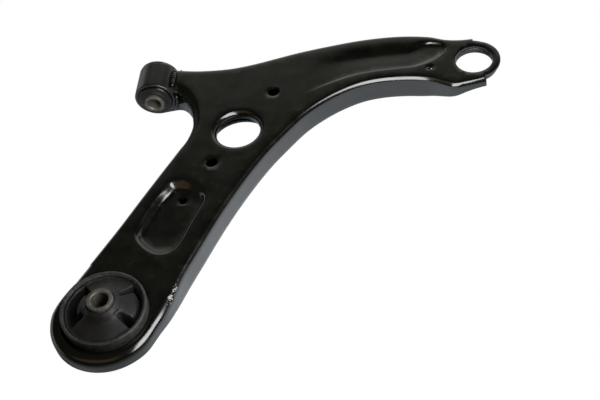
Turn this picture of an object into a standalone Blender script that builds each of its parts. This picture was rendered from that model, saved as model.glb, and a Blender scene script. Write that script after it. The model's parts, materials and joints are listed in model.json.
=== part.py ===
"""Lower control arm of a car's front suspension: two pressed steel shells welded into a box,
a cross bush at the front of the swing axis, a vertical bush at the rear, an empty ball joint eye.

Row frame: X outboard to the ball joint eye, Y forward along the swing axis, Z up.
Datum numbers are millimetres from the rear bush axis at the upper shell's flat top face;
ORIGIN_SHIFT moves them so that the origin is the bottom centre of the whole arm.
"""
import math

import bmesh
import bpy
from mathutils import Vector
from mathutils.geometry import delaunay_2d_cdt

MM = 0.001
ORIGIN_SHIFT = (-138.46, -132.13, 39.0)

# Sheet metal
SHEET = 3.0                     # both shells
SHELL_GAP = 0.3                 # between nested or touching pieces
BEND = 5.0                      # outer radius of the flange bends
SADDLE_BEND = 9.0               # the same bend where it turns round the front bush tube
REAR_BEND = 6.5                 # and round the rear lobe
LOWER_BEND = 3.4                # flange bends of the lower shell
FLANGE_DEPTH = 24.0             # full height of the box section
REAR_DEPTH = 13.5               # height of the flange at the rear lobe
EYE_DEPTH = 9.5                 # height of the flange where it stops at the eye
SADDLE_DEPTH = 33.0             # height of the flange under the front bush tube

# Ball joint eye
EYE = (300.0, 275.0)
EYE_BORE_R = 17.0
EYE_LAND_R = 24.0
EYE_HEIGHT = 8.6
EYE_RING_R = 21.6

# Holes in the upper shell
WINDOW = (88.3, 198.0)          # large flanged hole
WINDOW_R = 20.0
WINDOW_BEND = 4.0
WINDOW_DEPTH = 8.5
DATUM_HOLES = (((116.0, 244.0), 5.5), ((68.0, 159.5), 5.6), ((259.5, 266.6), 2.6))
PANEL_HOLE = ((46.5, 120.0), 3.6)

# Rear bush, axis vertical
REAR_SLEEVE_R = 36.0
REAR_SLEEVE_WALL = 3.0
REAR_SLEEVE_TOP = 8.0
REAR_SLEEVE_BOTTOM = -28.0
REAR_CORE_R = 11.0
REAR_CORE_BORE_R = 7.25
REAR_CORE_TOP = 19.0
REAR_CORE_BOTTOM = -39.0
REAR_COLLAR_R = 38.4
REAR_LAND_R = 40.0
REAR_CLEAR_R = 43.2             # edge of the lower shell round the bush
REAR_PIVOT_Z = -10.0

# Front bush, axis along Y
FRONT_Y = 265.5
FRONT_Z = -10.0
TUBE_R = 19.5
TUBE_LENGTH = 31.0
TUBE_WALL = 3.0
CAN_WALL = 1.6
FRONT_CORE_R = 9.6
FRONT_CORE_BORE_R = 6.1
FRONT_CORE_LENGTH = 44.0

# Outer face of the flange, anticlockwise from above
REAR_LOBE = (-0.5, -2.0, 46.5)  # centre and radius of the rounded rear end
OUTER_EDGE = ((46.0, -10.0), (50.0, 0.0), (54.0, 14.0), (60.5, 40.0), (70.0, 66.0), (84.0, 103.0),
              (100.0, 139.0), (117.0, 171.0), (131.0, 192.0), (147.0, 213.5), (163.5, 229.0),
              (180.0, 240.5), (197.5, 249.0), (214.5, 253.0), (233.0, 254.2), (250.5, 253.3),
              (262.0, 251.0), (272.0, 246.5), (279.0, 243.3), (285.0, 242.5), (292.0, 243.9),
              (301.0, 246.0), (311.0, 249.0))
BACK_EDGE = ((299.0, 305.0), (288.0, 304.2), (274.0, 305.5), (260.0, 310.0), (241.0, 312.5),
             (222.0, 312.8), (193.0, 310.0), (165.0, 304.5), (136.0, 297.5), (118.0, 292.0),
             (99.0, 286.0), (86.0, 282.5), (70.0, 279.5), (41.0, 278.5), (16.0, 281.0),
             (4.0, 282.0))
SADDLE_EDGE = ((4.0, 254.5), (12.0, 254.5), (22.0, 252.0), (30.5, 244.5), (37.5, 232.5),
               (41.5, 218.5), (43.0, 205.0), (41.0, 190.0))
LEFT_EDGE = ((35.0, 177.0), (23.5, 152.5), (8.5, 120.0), (-4.5, 91.0), (-17.5, 64.0),
             (-29.0, 40.5), (-40.0, 18.0), (-45.0, 8.0))

# Pressed panels in the upper shell
POCKET_EDGE = ((15.5, 104.0), (10.0, 80.0), (18.0, 67.0), (32.0, 58.0), (44.0, 59.0),
               (51.5, 66.0), (62.5, 97.0), (69.0, 119.0), (65.0, 131.0), (54.0, 140.0),
               (42.0, 143.5), (31.0, 140.0), (26.0, 130.0))
POCKET_DEPTH = 5.5
POCKET_WALL = 8.0
RECESS_EDGE = ((132.0, 233.0), (150.0, 241.0), (168.0, 250.5), (187.0, 259.0), (205.0, 263.5),
               (231.0, 266.5), (248.0, 268.2), (261.0, 273.5), (271.0, 282.0), (275.5, 291.0),
               (272.0, 299.0), (262.0, 302.0), (232.0, 303.0), (203.0, 301.0), (180.0, 297.5),
               (156.0, 291.5), (138.0, 285.0), (120.0, 274.0), (112.0, 254.0))
RECESS_DEPTH = 3.0
RECESS_WALL = 7.0

RING_SIDES = 40


# ---------------------------------------------------------------- plane geometry

def smoothstep(a, b, x):
    t = min(max((x - a) / (b - a), 0.0), 1.0)
    return t * t * (3.0 - 2.0 * t)


def mix(a, b, t):
    return a + (b - a) * t


def spline(knots, closed, step=1.5):
    """Points on a centripetal spline through the knots."""
    pts = [Vector(k) for k in knots]
    count = len(pts)
    spans = count if closed else count - 1
    out = []
    for i in range(spans):
        if closed:
            p0, p1, p2, p3 = (pts[(i + k) % count] for k in (-1, 0, 1, 2))
        else:
            p1, p2 = pts[i], pts[i + 1]
            p0 = pts[i - 1] if i else p1 * 2 - p2
            p3 = pts[i + 2] if i + 2 < count else p2 * 2 - p1
        t0 = 0.0
        t1 = t0 + math.sqrt((p1 - p0).length)
        t2 = t1 + math.sqrt((p2 - p1).length)
        t3 = t2 + math.sqrt((p3 - p2).length)
        n = max(2, int((p2 - p1).length / step))
        for k in range(n):
            t = mix(t1, t2, k / n)
            a1 = p0 * ((t1 - t) / (t1 - t0)) + p1 * ((t - t0) / (t1 - t0))
            a2 = p1 * ((t2 - t) / (t2 - t1)) + p2 * ((t - t1) / (t2 - t1))
            a3 = p2 * ((t3 - t) / (t3 - t2)) + p3 * ((t - t2) / (t3 - t2))
            b1 = a1 * ((t2 - t) / (t2 - t0)) + a2 * ((t - t0) / (t2 - t0))
            b2 = a2 * ((t3 - t) / (t3 - t1)) + a3 * ((t - t1) / (t3 - t1))
            out.append(b1 * ((t2 - t) / (t2 - t1)) + b2 * ((t - t1) / (t2 - t1)))
    if not closed:
        out.append(pts[-1])
    return out


def thin(points, closed, tolerance, longest):
    """Keeps as few of the points as hold the curve within the tolerance."""
    kept = [0]
    last = len(points) - 1
    i = 0
    while i < last:
        j = i + 1
        while j < last:
            a, b = points[i], points[j + 1]
            chord = b - a
            if chord.length > longest:
                break
            gap = max(abs(chord.cross(points[k] - a)) / chord.length for k in range(i + 1, j + 1))
            if gap > tolerance:
                break
            j += 1
        kept.append(j)
        i = j
    if closed and (points[kept[-1]] - points[0]).length < 1.0:
        kept.pop()
    return [points[k] for k in kept]


def outward(points, closed):
    """Unit normals to the right of the direction of travel."""
    count = len(points)
    out = []
    for i in range(count):
        if closed:
            d = points[(i + 1) % count] - points[i - 1]
        else:
            d = points[min(i + 1, count - 1)] - points[max(i - 1, 0)]
        out.append(Vector((d.y, -d.x)).normalized())
    return out


def circle(centre, radius, sides, start=0.0):
    return [Vector((centre[0] + radius * math.cos(start + math.tau * k / sides),
                    centre[1] + radius * math.sin(start + math.tau * k / sides)))
            for k in range(sides)]


def lobe_knots():
    x, y, r = REAR_LOBE
    return [(x + r * math.cos(math.radians(a)), y + r * math.sin(math.radians(a)))
            for a in range(175, 340, 15)]


def flange_line():
    """Outer face of the flange behind the tube, and in front of it round the rear to the eye."""
    back = spline(BACK_EDGE, False)
    front = spline(SADDLE_EDGE + LEFT_EDGE + tuple(lobe_knots()) + OUTER_EDGE, False)
    return [thin(line, False, 0.35, 26.0) for line in (back, front)]


def distance_to(points, p):
    """Distance from p to a closed line, positive inside it."""
    best = 1e9
    inside = False
    count = len(points)
    for i in range(count):
        a, b = points[i], points[(i + 1) % count]
        e = b - a
        t = min(max((p - a).dot(e) / e.length_squared, 0.0), 1.0)
        best = min(best, (p - a - e * t).length)
        if (a.y > p.y) != (b.y > p.y) and p.x < a.x + (p.y - a.y) * e.x / e.y:
            inside = not inside
    return best if inside else -best


def flange_depth(p):
    """Height of the upper shell's flange at a place on its outer face."""
    depth = FLANGE_DEPTH
    depth -= (FLANGE_DEPTH - REAR_DEPTH) * (1.0 - smoothstep(-22.0, 48.0, p.y))
    depth -= (FLANGE_DEPTH - EYE_DEPTH) * smoothstep(248.0, 306.0, p.x)
    if p.y > 200.0:
        depth += (SADDLE_DEPTH - FLANGE_DEPTH) * (1.0 - smoothstep(2.0, 40.0, p.x))
    return depth


def flange_bend(p):
    """Outer bend radius, which has to leave a land round the rear bush."""
    radius = BEND
    if p.length < 56.0:
        radius = min(max(p.length - REAR_LAND_R, 3.6), REAR_BEND)
    if 190.0 < p.y < 262.0 and p.x < 60.0:
        radius = mix(radius, SADDLE_BEND, smoothstep(190.0, 215.0, p.y))
    return radius


# ---------------------------------------------------------------- scene helpers

def new_collection(name, hidden=False):
    collection = bpy.data.collections.new(name)
    bpy.context.scene.collection.children.link(collection)
    collection.hide_render = hidden
    return collection


def material(name, colour, roughness, metallic):
    m = bpy.data.materials.new(name)
    m.use_nodes = True
    shader = m.node_tree.nodes["Principled BSDF"]
    shader.inputs["Base Color"].default_value = (*colour, 1.0)
    shader.inputs["Roughness"].default_value = roughness
    shader.inputs["Metallic"].default_value = metallic
    m.diffuse_color = (*colour, 1.0)
    return m


def shifted(v):
    return tuple((v[k] + ORIGIN_SHIFT[k]) * MM for k in range(3))


def to_object(name, bm, collection, mat, origin=(0.0, 0.0, 0.0), smooth=30.0):
    """Object from a mesh in datum millimetres, its origin at the given datum point."""
    for v in bm.verts:
        v.co = (v.co - Vector(origin)) * MM
    mesh = bpy.data.meshes.new(name)
    bm.to_mesh(mesh)
    bm.free()
    ob = bpy.data.objects.new(name, mesh)
    ob.location = shifted(origin)
    collection.objects.link(ob)
    mesh.materials.append(mat)
    mesh.shade_smooth()
    mesh.set_sharp_from_angle(angle=math.radians(smooth))
    return ob


def cutter(name, bm, origin=(0.0, 0.0, 0.0)):
    ob = to_object(name, bm, CUTTERS, CUTTER_MATERIAL, origin)
    ob.display_type = "WIRE"
    return ob


def cut(ob, tool, operation="DIFFERENCE"):
    mod = ob.modifiers.new(tool.name, "BOOLEAN")
    mod.operation = operation
    mod.object = tool
    mod.solver = "EXACT"


def cylinder(centre, axis, radius, length, sides=RING_SIDES):
    """Closed cylinder centred on a datum point, its axis along Y or Z."""
    bm = bmesh.new()
    bmesh.ops.create_cone(bm, cap_ends=True, segments=sides, radius1=radius, radius2=radius,
                          depth=length)
    for v in bm.verts:
        x, y, z = v.co
        v.co = Vector((x, z, -y)) if axis == "Y" else Vector((x, y, z))
        v.co += Vector(centre)
    return bm


def ring(centre, axis, outer, inner, low, high, sides=RING_SIDES, chamfer=0.4):
    """Turned ring as a closed body: the profile is revolved about the axis."""
    c = chamfer
    profile = ((inner + c, high), (inner, high - c), (inner, low + c), (inner + c, low),
               (outer - c, low), (outer, low + c), (outer, high - c), (outer - c, high))
    return turned(centre, axis, profile, sides)


def turned(centre, axis, profile, sides=RING_SIDES):
    """Closed body from a closed profile of (radius, height) points round the axis."""
    bm = bmesh.new()
    rows = []
    for k in range(sides):
        a = math.tau * k / sides
        row = []
        for radius, height in profile:
            x, y, z = radius * math.cos(a), radius * math.sin(a), height
            p = Vector((x, z, -y)) if axis == "Y" else Vector((x, y, z))
            row.append(bm.verts.new(p + Vector(centre)))
        rows.append(row)
    n = len(profile)
    for k in range(sides):
        a, b = rows[k], rows[(k + 1) % sides]
        for j in range(n):
            bm.faces.new((a[j], b[j], b[(j + 1) % n], a[(j + 1) % n]))
    bmesh.ops.recalc_face_normals(bm, faces=bm.faces)
    return bm


def bead(name, path, radius, mat, closed=False, sides=6):
    """Weld bead: a lumpy tube along a path of datum points, closed at both ends."""
    bm = bmesh.new()
    pts = [Vector(p) for p in path]
    count = len(pts)
    rows = []
    for i, p in enumerate(pts):
        if closed:
            d = pts[(i + 1) % count] - pts[i - 1]
        else:
            d = pts[min(i + 1, count - 1)] - pts[max(i - 1, 0)]
        d.normalize()
        side = d.cross(Vector((0.0, 0.0, 1.0)))
        if side.length < 0.1:
            side = d.cross(Vector((1.0, 0.0, 0.0)))
        side.normalize()
        up = side.cross(d)
        r = radius * (1.0 + 0.10 * math.cos(2.4 * i))
        if not closed and i in (0, count - 1):
            r *= 0.55
        rows.append([bm.verts.new(p + (side * math.cos(math.tau * k / sides)
                                       + up * math.sin(math.tau * k / sides)) * r)
                     for k in range(sides)])
    for i in range(count if closed else count - 1):
        a, b = rows[i], rows[(i + 1) % count]
        for k in range(sides):
            bm.faces.new((a[k], a[(k + 1) % sides], b[(k + 1) % sides], b[k]))
    if not closed:
        bm.faces.new(rows[0])
        bm.faces.new(rows[-1])
    bmesh.ops.recalc_face_normals(bm, faces=bm.faces)
    return to_object(name, bm, PARTS, mat, origin=tuple(pts[0]), smooth=60.0)


# ---------------------------------------------------------------- pressed shells

class Sheet:
    """Pressed sheet of one thickness: the show face is laid out and the back face follows it.

    side is +1 where the show face looks up and the flanges hang down, -1 for the reverse.
    """

    def __init__(self, side, height):
        self.bm = bmesh.new()
        self.side = side
        self.height = height
        self.backs = {}

    def vert(self, x, y, z, nx, ny, nz):
        v = self.bm.verts.new((x, y, z))
        self.backs[v] = Vector((x - SHEET * nx, y - SHEET * ny, z - SHEET * nz))
        return v

    def loop(self, points, height=None):
        height = height or self.height
        return [self.vert(p.x, p.y, height(p), 0.0, 0.0, self.side) for p in points]

    def strip(self, a, b, closed):
        n = len(a)
        for k in range(n if closed else n - 1):
            j = (k + 1) % n
            self.bm.faces.new((a[k], a[j], b[j], b[k]))

    def turn_down(self, line, normals, start, bend_of, depth_of, steps, closed=False):
        """Bend and wall hung from a row of vertices along a line of the wall's outer face."""
        s = self.side
        base = [v.co.z for v in start]
        previous = start
        for k in range(1, steps + 1):
            a = 0.5 * math.pi * k / steps
            row = []
            for p, n, z in zip(line, normals, base):
                r = bend_of(p)
                q = p - n * (r * (1.0 - math.sin(a)))
                row.append(self.vert(q.x, q.y, z - s * r * (1.0 - math.cos(a)),
                                     n.x * math.sin(a), n.y * math.sin(a), s * math.cos(a)))
            self.strip(previous, row, closed)
            previous = row
        row = [self.vert(p.x, p.y, z - s * depth_of(p), n.x, n.y, 0.0)
               for p, n, z in zip(line, normals, base)]
        self.strip(previous, row, closed)

    def collar(self, centre, radius, bend, depth, sides, steps):
        """Drawn collar turned down round a hole; gives back its rim loop in the sheet."""
        wall = circle(centre, radius, sides)
        inward = [(Vector(centre) - p).normalized() for p in wall]
        rim = self.loop(offset_line(wall, inward, [bend] * sides))
        self.turn_down(wall, inward, rim, lambda p: bend, lambda p: depth, steps, True)
        return rim

    def fill(self, outer, holes, panels):
        """Triangles inside the outer loop and outside the holes, keeping each panel line."""
        points = []
        verts = []
        edges = []
        for loop in [outer] + holes + panels:
            first = len(points)
            for v in loop:
                points.append(v.co.xy.copy())
                verts.append(v)
            n = len(loop)
            edges += [(first + k, first + (k + 1) % n) for k in range(n)]
        out, _, faces, origin, _, _ = delaunay_2d_cdt(points, edges, [], 0, 1e-5)
        made = []
        for k, p in enumerate(out):
            if origin[k]:
                made.append(verts[origin[k][0]])
            else:
                made.append(self.vert(p.x, p.y, self.height(p), 0.0, 0.0, self.side))
        outer_xy = [v.co.xy.copy() for v in outer]
        hole_xy = [[v.co.xy.copy() for v in h] for h in holes]
        for f in faces:
            corners = [made[i] for i in f]
            c = sum((v.co.xy.copy() for v in corners), Vector((0.0, 0.0))) / len(corners)
            if inside(outer_xy, c) and not any(inside(h, c) for h in hole_xy):
                self.bm.faces.new(corners)

    def close(self):
        """Adds the back face and the cut edges, which makes one closed body."""
        bm = self.bm
        bmesh.ops.recalc_face_normals(bm, faces=bm.faces)
        flat = sum(f.normal.z * f.calc_area() for f in bm.faces)
        if flat * self.side < 0.0:
            bmesh.ops.reverse_faces(bm, faces=bm.faces)
        faces = list(bm.faces)
        rims = [e for e in bm.edges if len(e.link_faces) == 1]
        pairs = []
        for e in rims:
            for loop in e.link_faces[0].loops:
                if loop.edge == e:
                    pairs.append((loop.vert, loop.link_loop_next.vert))
        twin = {v: bm.verts.new(co) for v, co in self.backs.items()}
        for f in faces:
            bm.faces.new([twin[v] for v in reversed(f.verts)])
        for a, b in pairs:
            bm.faces.new((b, a, twin[a], twin[b]))
        bmesh.ops.delete(bm, geom=[v for v in bm.verts if not v.link_faces], context="VERTS")
        return bm


def inside(loop, p):
    hit = False
    n = len(loop)
    for i in range(n):
        a, b = loop[i], loop[(i + 1) % n]
        if (a.y > p.y) != (b.y > p.y) and p.x < a.x + (p.y - a.y) * (b.x - a.x) / (b.y - a.y):
            hit = not hit
    return hit


def offset_line(points, normals, amounts):
    return [p - n * a for p, n, a in zip(points, normals, amounts)]


def panel_loops(sheet, knots, wall, floor):
    """Loops down a pressed panel's wall, which blends from the flat above into the floor."""
    edge = thin(spline(knots, True), True, 0.35, 20.0)
    normals = outward(edge, True)
    loops = []
    for t in (0.0, 0.32, 0.68, 1.0):
        line = offset_line(edge, normals, [wall * t] * len(edge))
        drop = smoothstep(0.0, 1.0, t)
        loops.append(sheet.loop(line, lambda p, drop=drop: floor(p) * drop))
    return loops


def eye_arc(start, end, sides):
    """Edge of the eye's land from the flange's front cut round to its back cut."""
    centre = Vector(EYE)
    a0 = math.atan2(start.y - centre.y, start.x - centre.x)
    a1 = math.atan2(end.y - centre.y, end.x - centre.x)
    r0, r1 = (start - centre).length, (end - centre).length
    out = []
    for k in range(1, sides):
        t = k / sides
        a = mix(a0, a1, t)
        r = mix(mix(r0, r1, t), EYE_LAND_R, min(1.0, 6.0 * min(t, 1.0 - t)))
        out.append(centre + Vector((math.cos(a), math.sin(a))) * r)
    return out


def recess_floor(p):
    """Height of the long recess, which fades out towards the window end."""
    return -RECESS_DEPTH * smoothstep(118.0, 190.0, p[0])


def recess_height(p):
    """Height anywhere in or beside the long recess, its wall included."""
    depth = distance_to(spline(RECESS_EDGE, True, 6.0), p)
    return recess_floor(p) * smoothstep(0.0, RECESS_WALL, depth)


def upper_shell():
    """Main pressing: flat top, flanges down, flanged window, pocket and long recess."""
    sheet = Sheet(1.0, lambda p: 0.0)
    loops = []
    for line in reversed(flange_line()):
        normals = outward(line, False)
        top = offset_line(line, normals, [flange_bend(p) for p in line])
        loops.append(sheet.loop(top))
        sheet.turn_down(line, normals, loops[-1], flange_bend, flange_depth, 3)
    arc = sheet.loop(eye_arc(loops[0][-1].co.xy, loops[1][0].co.xy, 18))
    outer = loops[0] + arc + loops[1]

    holes = [sheet.loop(circle(EYE, EYE_BORE_R, 32))]
    holes.append(sheet.collar(WINDOW, WINDOW_R, WINDOW_BEND, WINDOW_DEPTH, 32, 3))
    holes.append(sheet.collar((0.0, 0.0), REAR_SLEEVE_R + SHELL_GAP, 3.2, 7.0, RING_SIDES, 2))
    for centre, radius in DATUM_HOLES[:2]:
        holes.append(sheet.loop(circle(centre, radius, 14)))
    centre, radius = DATUM_HOLES[2]
    holes.append(sheet.loop(circle(centre, radius, 12), recess_height))
    centre, radius = PANEL_HOLE
    holes.append(sheet.loop(circle(centre, radius, 12), lambda p: -POCKET_DEPTH))

    panels = panel_loops(sheet, POCKET_EDGE, POCKET_WALL, lambda p: -POCKET_DEPTH)
    panels += panel_loops(sheet, RECESS_EDGE, RECESS_WALL, recess_floor)
    sheet.fill(outer, holes, panels)
    ob = to_object("upper_shell", sheet.close(), PARTS, STEEL_BLACK)
    cut(ob, TUBE_CUTTER)
    return ob


def underside(p):
    """Underside of the lower shell, which follows the flange and cradles the front tube."""
    z = 2.0 - flange_depth(p)
    if p.y > 225.0 and p.x < 42.0:
        reach = TUBE_R + SHELL_GAP + SHEET
        drop = math.sqrt(max(reach * reach - p.x * p.x, 0.0))
        z = min(2.0 - FLANGE_DEPTH, FRONT_Z - drop - SHELL_GAP)
    return z


def closing_depth(p):
    """Height of the lower shell's flange, which stops below the upper shell's bend."""
    return min(0.5 * flange_depth(p), -underside(p) - flange_bend(p) - 1.4)


def lower_shell():
    """Closing pressing nested between the flanges, its own flanges turned up."""
    sheet = Sheet(-1.0, underside)
    back, front = flange_line()
    runs = [[], [], []]
    for line, keep in ((front, lambda p: p.y > 62.0 and p.x < 0.5 * p.y),
                       (front, lambda p: p.y > 30.0 and 0.5 * p.y <= p.x < 262.0),
                       (back, lambda p: p.x < 262.0)):
        normals = outward(line, False)
        run = [(p, n) for p, n in zip(line, normals) if keep(p)]
        runs[len([r for r in runs if r])] = run
    loops = []
    for run in runs:
        normals = [n for _, n in run]
        line = offset_line([p for p, _ in run], normals, [SHEET + SHELL_GAP] * len(run))
        loops.append(sheet.loop(offset_line(line, normals, [LOWER_BEND] * len(line))))
        sheet.turn_down(line, normals, loops[-1], lambda p: LOWER_BEND, closing_depth, 2)
    arc = [Vector((REAR_CLEAR_R * math.cos(math.radians(a)),
                   REAR_CLEAR_R * math.sin(math.radians(a)))) for a in range(112, 28, -9)]
    outer = loops[0] + sheet.loop(arc) + loops[1] + loops[2]
    holes = [sheet.loop(circle(WINDOW, WINDOW_R + 5.0, 28))]
    sheet.fill(outer, holes, [])
    ob = to_object("lower_shell", sheet.close(), PARTS, STEEL_BLACK)
    cut(ob, TUBE_CUTTER)
    return ob


# ---------------------------------------------------------------- bushes

def ball_joint_eye_ring():
    """Forged ring under the eye's land that the ball joint housing is pressed into."""
    bm = ring((*EYE, 0.0), "Z", EYE_RING_R, EYE_BORE_R, -EYE_HEIGHT, -SHEET - SHELL_GAP, 36)
    return to_object("ball_joint_eye_ring", bm, PARTS, STEEL_BLACK, (*EYE, 0.0))


def front_bush():
    """Cross bush: welded tube, pressed-in can with a lip, bonded rubber and steel core."""
    centre = (0.0, FRONT_Y, FRONT_Z)
    half = 0.5 * TUBE_LENGTH
    bm = ring(centre, "Y", TUBE_R, TUBE_R - TUBE_WALL, -half, half, 36, 0.6)
    to_object("front_bush_tube", bm, PARTS, STEEL_BLACK, centre)
    outer = TUBE_R - TUBE_WALL - SHELL_GAP
    inner = outer - CAN_WALL
    lip = half + SHELL_GAP
    bm = turned(centre, "Y", ((inner, -half - 1.0), (outer, -half - 1.0), (outer, lip),
                              (TUBE_R - 0.6, lip), (TUBE_R - 0.6, lip + CAN_WALL),
                              (inner, lip + CAN_WALL)), 36)
    to_object("front_bush_can", bm, PARTS, STEEL_BLACK, centre)
    hub = FRONT_CORE_R + SHELL_GAP
    shell = inner - SHELL_GAP
    bm = turned(centre, "Y", ((hub, -half - 3.0), (hub + 2.0, -half - 3.0), (shell - 1.5, -half),
                              (shell, -half - 0.6), (shell, half + 1.4), (shell - 1.5, half + 1.0),
                              (hub + 2.0, half + 4.0), (hub, half + 4.0)), 36)
    to_object("front_bush_rubber", bm, PARTS, RUBBER, centre)
    bm = ring(centre, "Y", FRONT_CORE_R, FRONT_CORE_BORE_R, -0.5 * FRONT_CORE_LENGTH,
              0.5 * FRONT_CORE_LENGTH, 32, 0.8)
    to_object("front_bush_core", bm, PARTS, STEEL_BARE, centre)


def void_outline(start, end, stop_start, stop_end, mirror):
    """C-shaped slot through the rear rubber, round the bump stop it leaves standing."""
    outer, stop, root = 31.0, 21.5 if mirror else 27.8, 16.5
    arc = []

    def sweep(radius, a, b, n):
        for k in range(n + 1):
            t = math.radians(mix(a, b, k / n))
            arc.append((radius * math.cos(t), radius * math.sin(t)))

    sweep(outer, start, end, 10)
    sweep(root, end, stop_end, 2)
    sweep(stop, stop_end, stop_start, 6)
    sweep(root, stop_start, start, 2)
    return [(-x, y) for x, y in reversed(arc)] if mirror else arc


def prism(outline, low, high):
    bm = bmesh.new()
    bottom = [bm.verts.new((x, y, low)) for x, y in outline]
    top = [bm.verts.new((x, y, high)) for x, y in outline]
    n = len(outline)
    bm.faces.new(list(reversed(bottom)))
    bm.faces.new(top)
    for k in range(n):
        j = (k + 1) % n
        bm.faces.new((bottom[k], bottom[j], top[j], top[k]))
    bmesh.ops.recalc_face_normals(bm, faces=bm.faces)
    return bm


def rear_bush():
    """Vertical bush: pressed-in sleeve, rubber with two voids and bump stops, steel core."""
    centre = (0.0, 0.0, REAR_PIVOT_Z)
    inner = REAR_SLEEVE_R - REAR_SLEEVE_WALL
    bm = ring((0.0, 0.0, 0.0), "Z", REAR_SLEEVE_R, inner, REAR_SLEEVE_BOTTOM, REAR_SLEEVE_TOP,
              RING_SIDES, 0.7)
    to_object("rear_bush_sleeve", bm, PARTS, STEEL_GREY, centre)
    bm = ring((0.0, 0.0, 0.0), "Z", REAR_COLLAR_R, REAR_SLEEVE_R + SHELL_GAP, -24.0,
              -7.0 - SHELL_GAP, RING_SIDES, 0.6)
    to_object("rear_bush_collar", bm, PARTS, STEEL_BLACK, centre)
    hub = REAR_CORE_R + SHELL_GAP
    shell = inner - SHELL_GAP
    rise = ((shell, 15.0), (30.5, 14.0), (20.0, 18.5), (16.0, 21.5), (15.0, 24.5), (12.5, 26.0),
            (hub, 26.0))
    top = [(r, REAR_PIVOT_Z + z) for r, z in rise]
    bottom = [(r, REAR_PIVOT_Z - z) for r, z in reversed(rise)]
    bm = turned((0.0, 0.0, 0.0), "Z", tuple(bottom + top), 36)
    rubber = to_object("rear_bush_rubber", bm, PARTS, RUBBER, centre)
    for name, mirror in (("void_outboard", False), ("void_inboard", True)):
        tool = prism(void_outline(-36.4, 49.2, -19.3, 35.4, mirror), -60.0, 60.0)
        cut(rubber, cutter(name, tool))
    bm = ring((0.0, 0.0, 0.0), "Z", REAR_CORE_R, REAR_CORE_BORE_R, REAR_CORE_BOTTOM,
              REAR_CORE_TOP, 32, 0.9)
    to_object("rear_bush_core", bm, PARTS, STEEL_BARE, centre)


# ---------------------------------------------------------------- welds

def along(first, last, count):
    return [tuple(mix(a, b, k / (count - 1)) for a, b in zip(first, last)) for k in range(count)]


def tube_welds():
    """Fillet beads that join the front tube to both shells."""
    r = 2.2
    rise = 1.1 * r + SHELL_GAP
    reach = TUBE_R + rise
    x = math.sqrt(reach * reach - (rise - FRONT_Z) ** 2)
    bead("weld_tube_top", along((x, 256.5, rise), (x, 279.0, rise), 9), r, WELD)
    x = 3.2 - rise
    z = FRONT_Z - math.sqrt((reach + 0.2) ** 2 - x * x)
    bead("weld_tube_bottom", along((x, 257.0, z), (x, 277.0, z), 8), r, WELD)
    r = 1.5
    reach = TUBE_R + 1.1 * r + SHELL_GAP
    for name, y in (("weld_tube_front", 249.9), ("weld_tube_back", 284.0)):
        path = []
        for k in range(9):
            a = math.radians(mix(-38.0, 12.0, k / 8))
            path.append((reach * math.cos(a), y, FRONT_Z + reach * math.sin(a)))
        bead(name, path, r, WELD)


def seam_path(line, keep):
    """Groove between the upper flange's lower edge and the lower shell's bend."""
    normals = outward(line, False)
    inset = SHEET + SHELL_GAP + 1.76
    points = [(p - n * inset, 0.7 - flange_depth(p)) for p, n in zip(line, normals) if keep(p)]
    path = []
    for (a, za), (b, zb) in zip(points[:-1], points[1:]):
        n = max(1, round((b - a).length / 12.0))
        path += [(*a.lerp(b, k / n), mix(za, zb, k / n)) for k in range(n)]
    return path + [(*points[-1][0], points[-1][1])]


def seam_welds():
    """Long fillet beads along the overlap of the two shells."""
    back, front = flange_line()
    outer = seam_path(front, lambda p: p.y > 40.0 and 0.5 * p.y <= p.x < 250.0)
    left = seam_path(front, lambda p: 70.0 < p.y < 180.0 and p.x < 0.5 * p.y)
    bead("weld_seam_outer", outer, 1.4, WELD)
    bead("weld_seam_left", left, 1.4, WELD)
    bead("weld_seam_back", seam_path(back, lambda p: 60.0 < p.x < 250.0), 1.4, WELD)


def ring_welds():
    """Beads round the eye ring and the rear bush collar, both on the underside."""
    path = []
    for k in range(17):
        a = math.radians(mix(105.0, 285.0, k / 16))
        path.append((EYE[0] + 23.6 * math.cos(a), EYE[1] + 23.6 * math.sin(a), -5.1))
    bead("weld_eye_ring", path, 1.3, WELD)
    path = []
    reach = 0.5 * (REAR_COLLAR_R + REAR_CLEAR_R)
    for k in range(14):
        a = math.radians(mix(36.0, 106.0, k / 13))
        p = Vector((reach * math.cos(a), reach * math.sin(a)))
        path.append((*p, underside(p) + 1.5))
    bead("weld_rear_collar", path, 1.9, WELD)


# ---------------------------------------------------------------- main

for old in list(bpy.data.objects):
    bpy.data.objects.remove(old, do_unlink=True)

PARTS = new_collection("control_arm")
CUTTERS = new_collection("cutters", hidden=True)
CUTTER_MATERIAL = material("cutter", (0.6, 0.2, 0.2), 0.6, 0.0)
STEEL_BLACK = material("black_coated_steel", (0.03, 0.03, 0.03), 0.35, 0.0)
STEEL_GREY = material("coated_sleeve", (0.07, 0.07, 0.065), 0.45, 0.0)
STEEL_BARE = material("bare_steel", (0.45, 0.43, 0.40), 0.42, 0.9)
RUBBER = material("rubber", (0.025, 0.028, 0.03), 0.62, 0.0)
WELD = material("coated_weld", (0.035, 0.034, 0.032), 0.4, 0.0)

TUBE_CUTTER = cutter("tube_clearance", cylinder((0.0, FRONT_Y, FRONT_Z), "Y",
                                                TUBE_R + SHELL_GAP, 90.0))
upper_shell()
lower_shell()
ball_joint_eye_ring()
front_bush()
rear_bush()
tube_welds()
seam_welds()
ring_welds()
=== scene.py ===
"""Looks of the pressed steel control arm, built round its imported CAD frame.

Every length below is in millimetres from the datum: the rear bush's axis at the level of the upper
shell's flat top, X outboard to the ball joint eye, Y forward along the swing axis, Z up. `place`
turns that into the frame's metres.
"""

import json
import math

import bmesh
import bpy
import numpy as np
from mathutils import Matrix, Vector, noise
from mathutils.geometry import delaunay_2d_cdt


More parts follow.
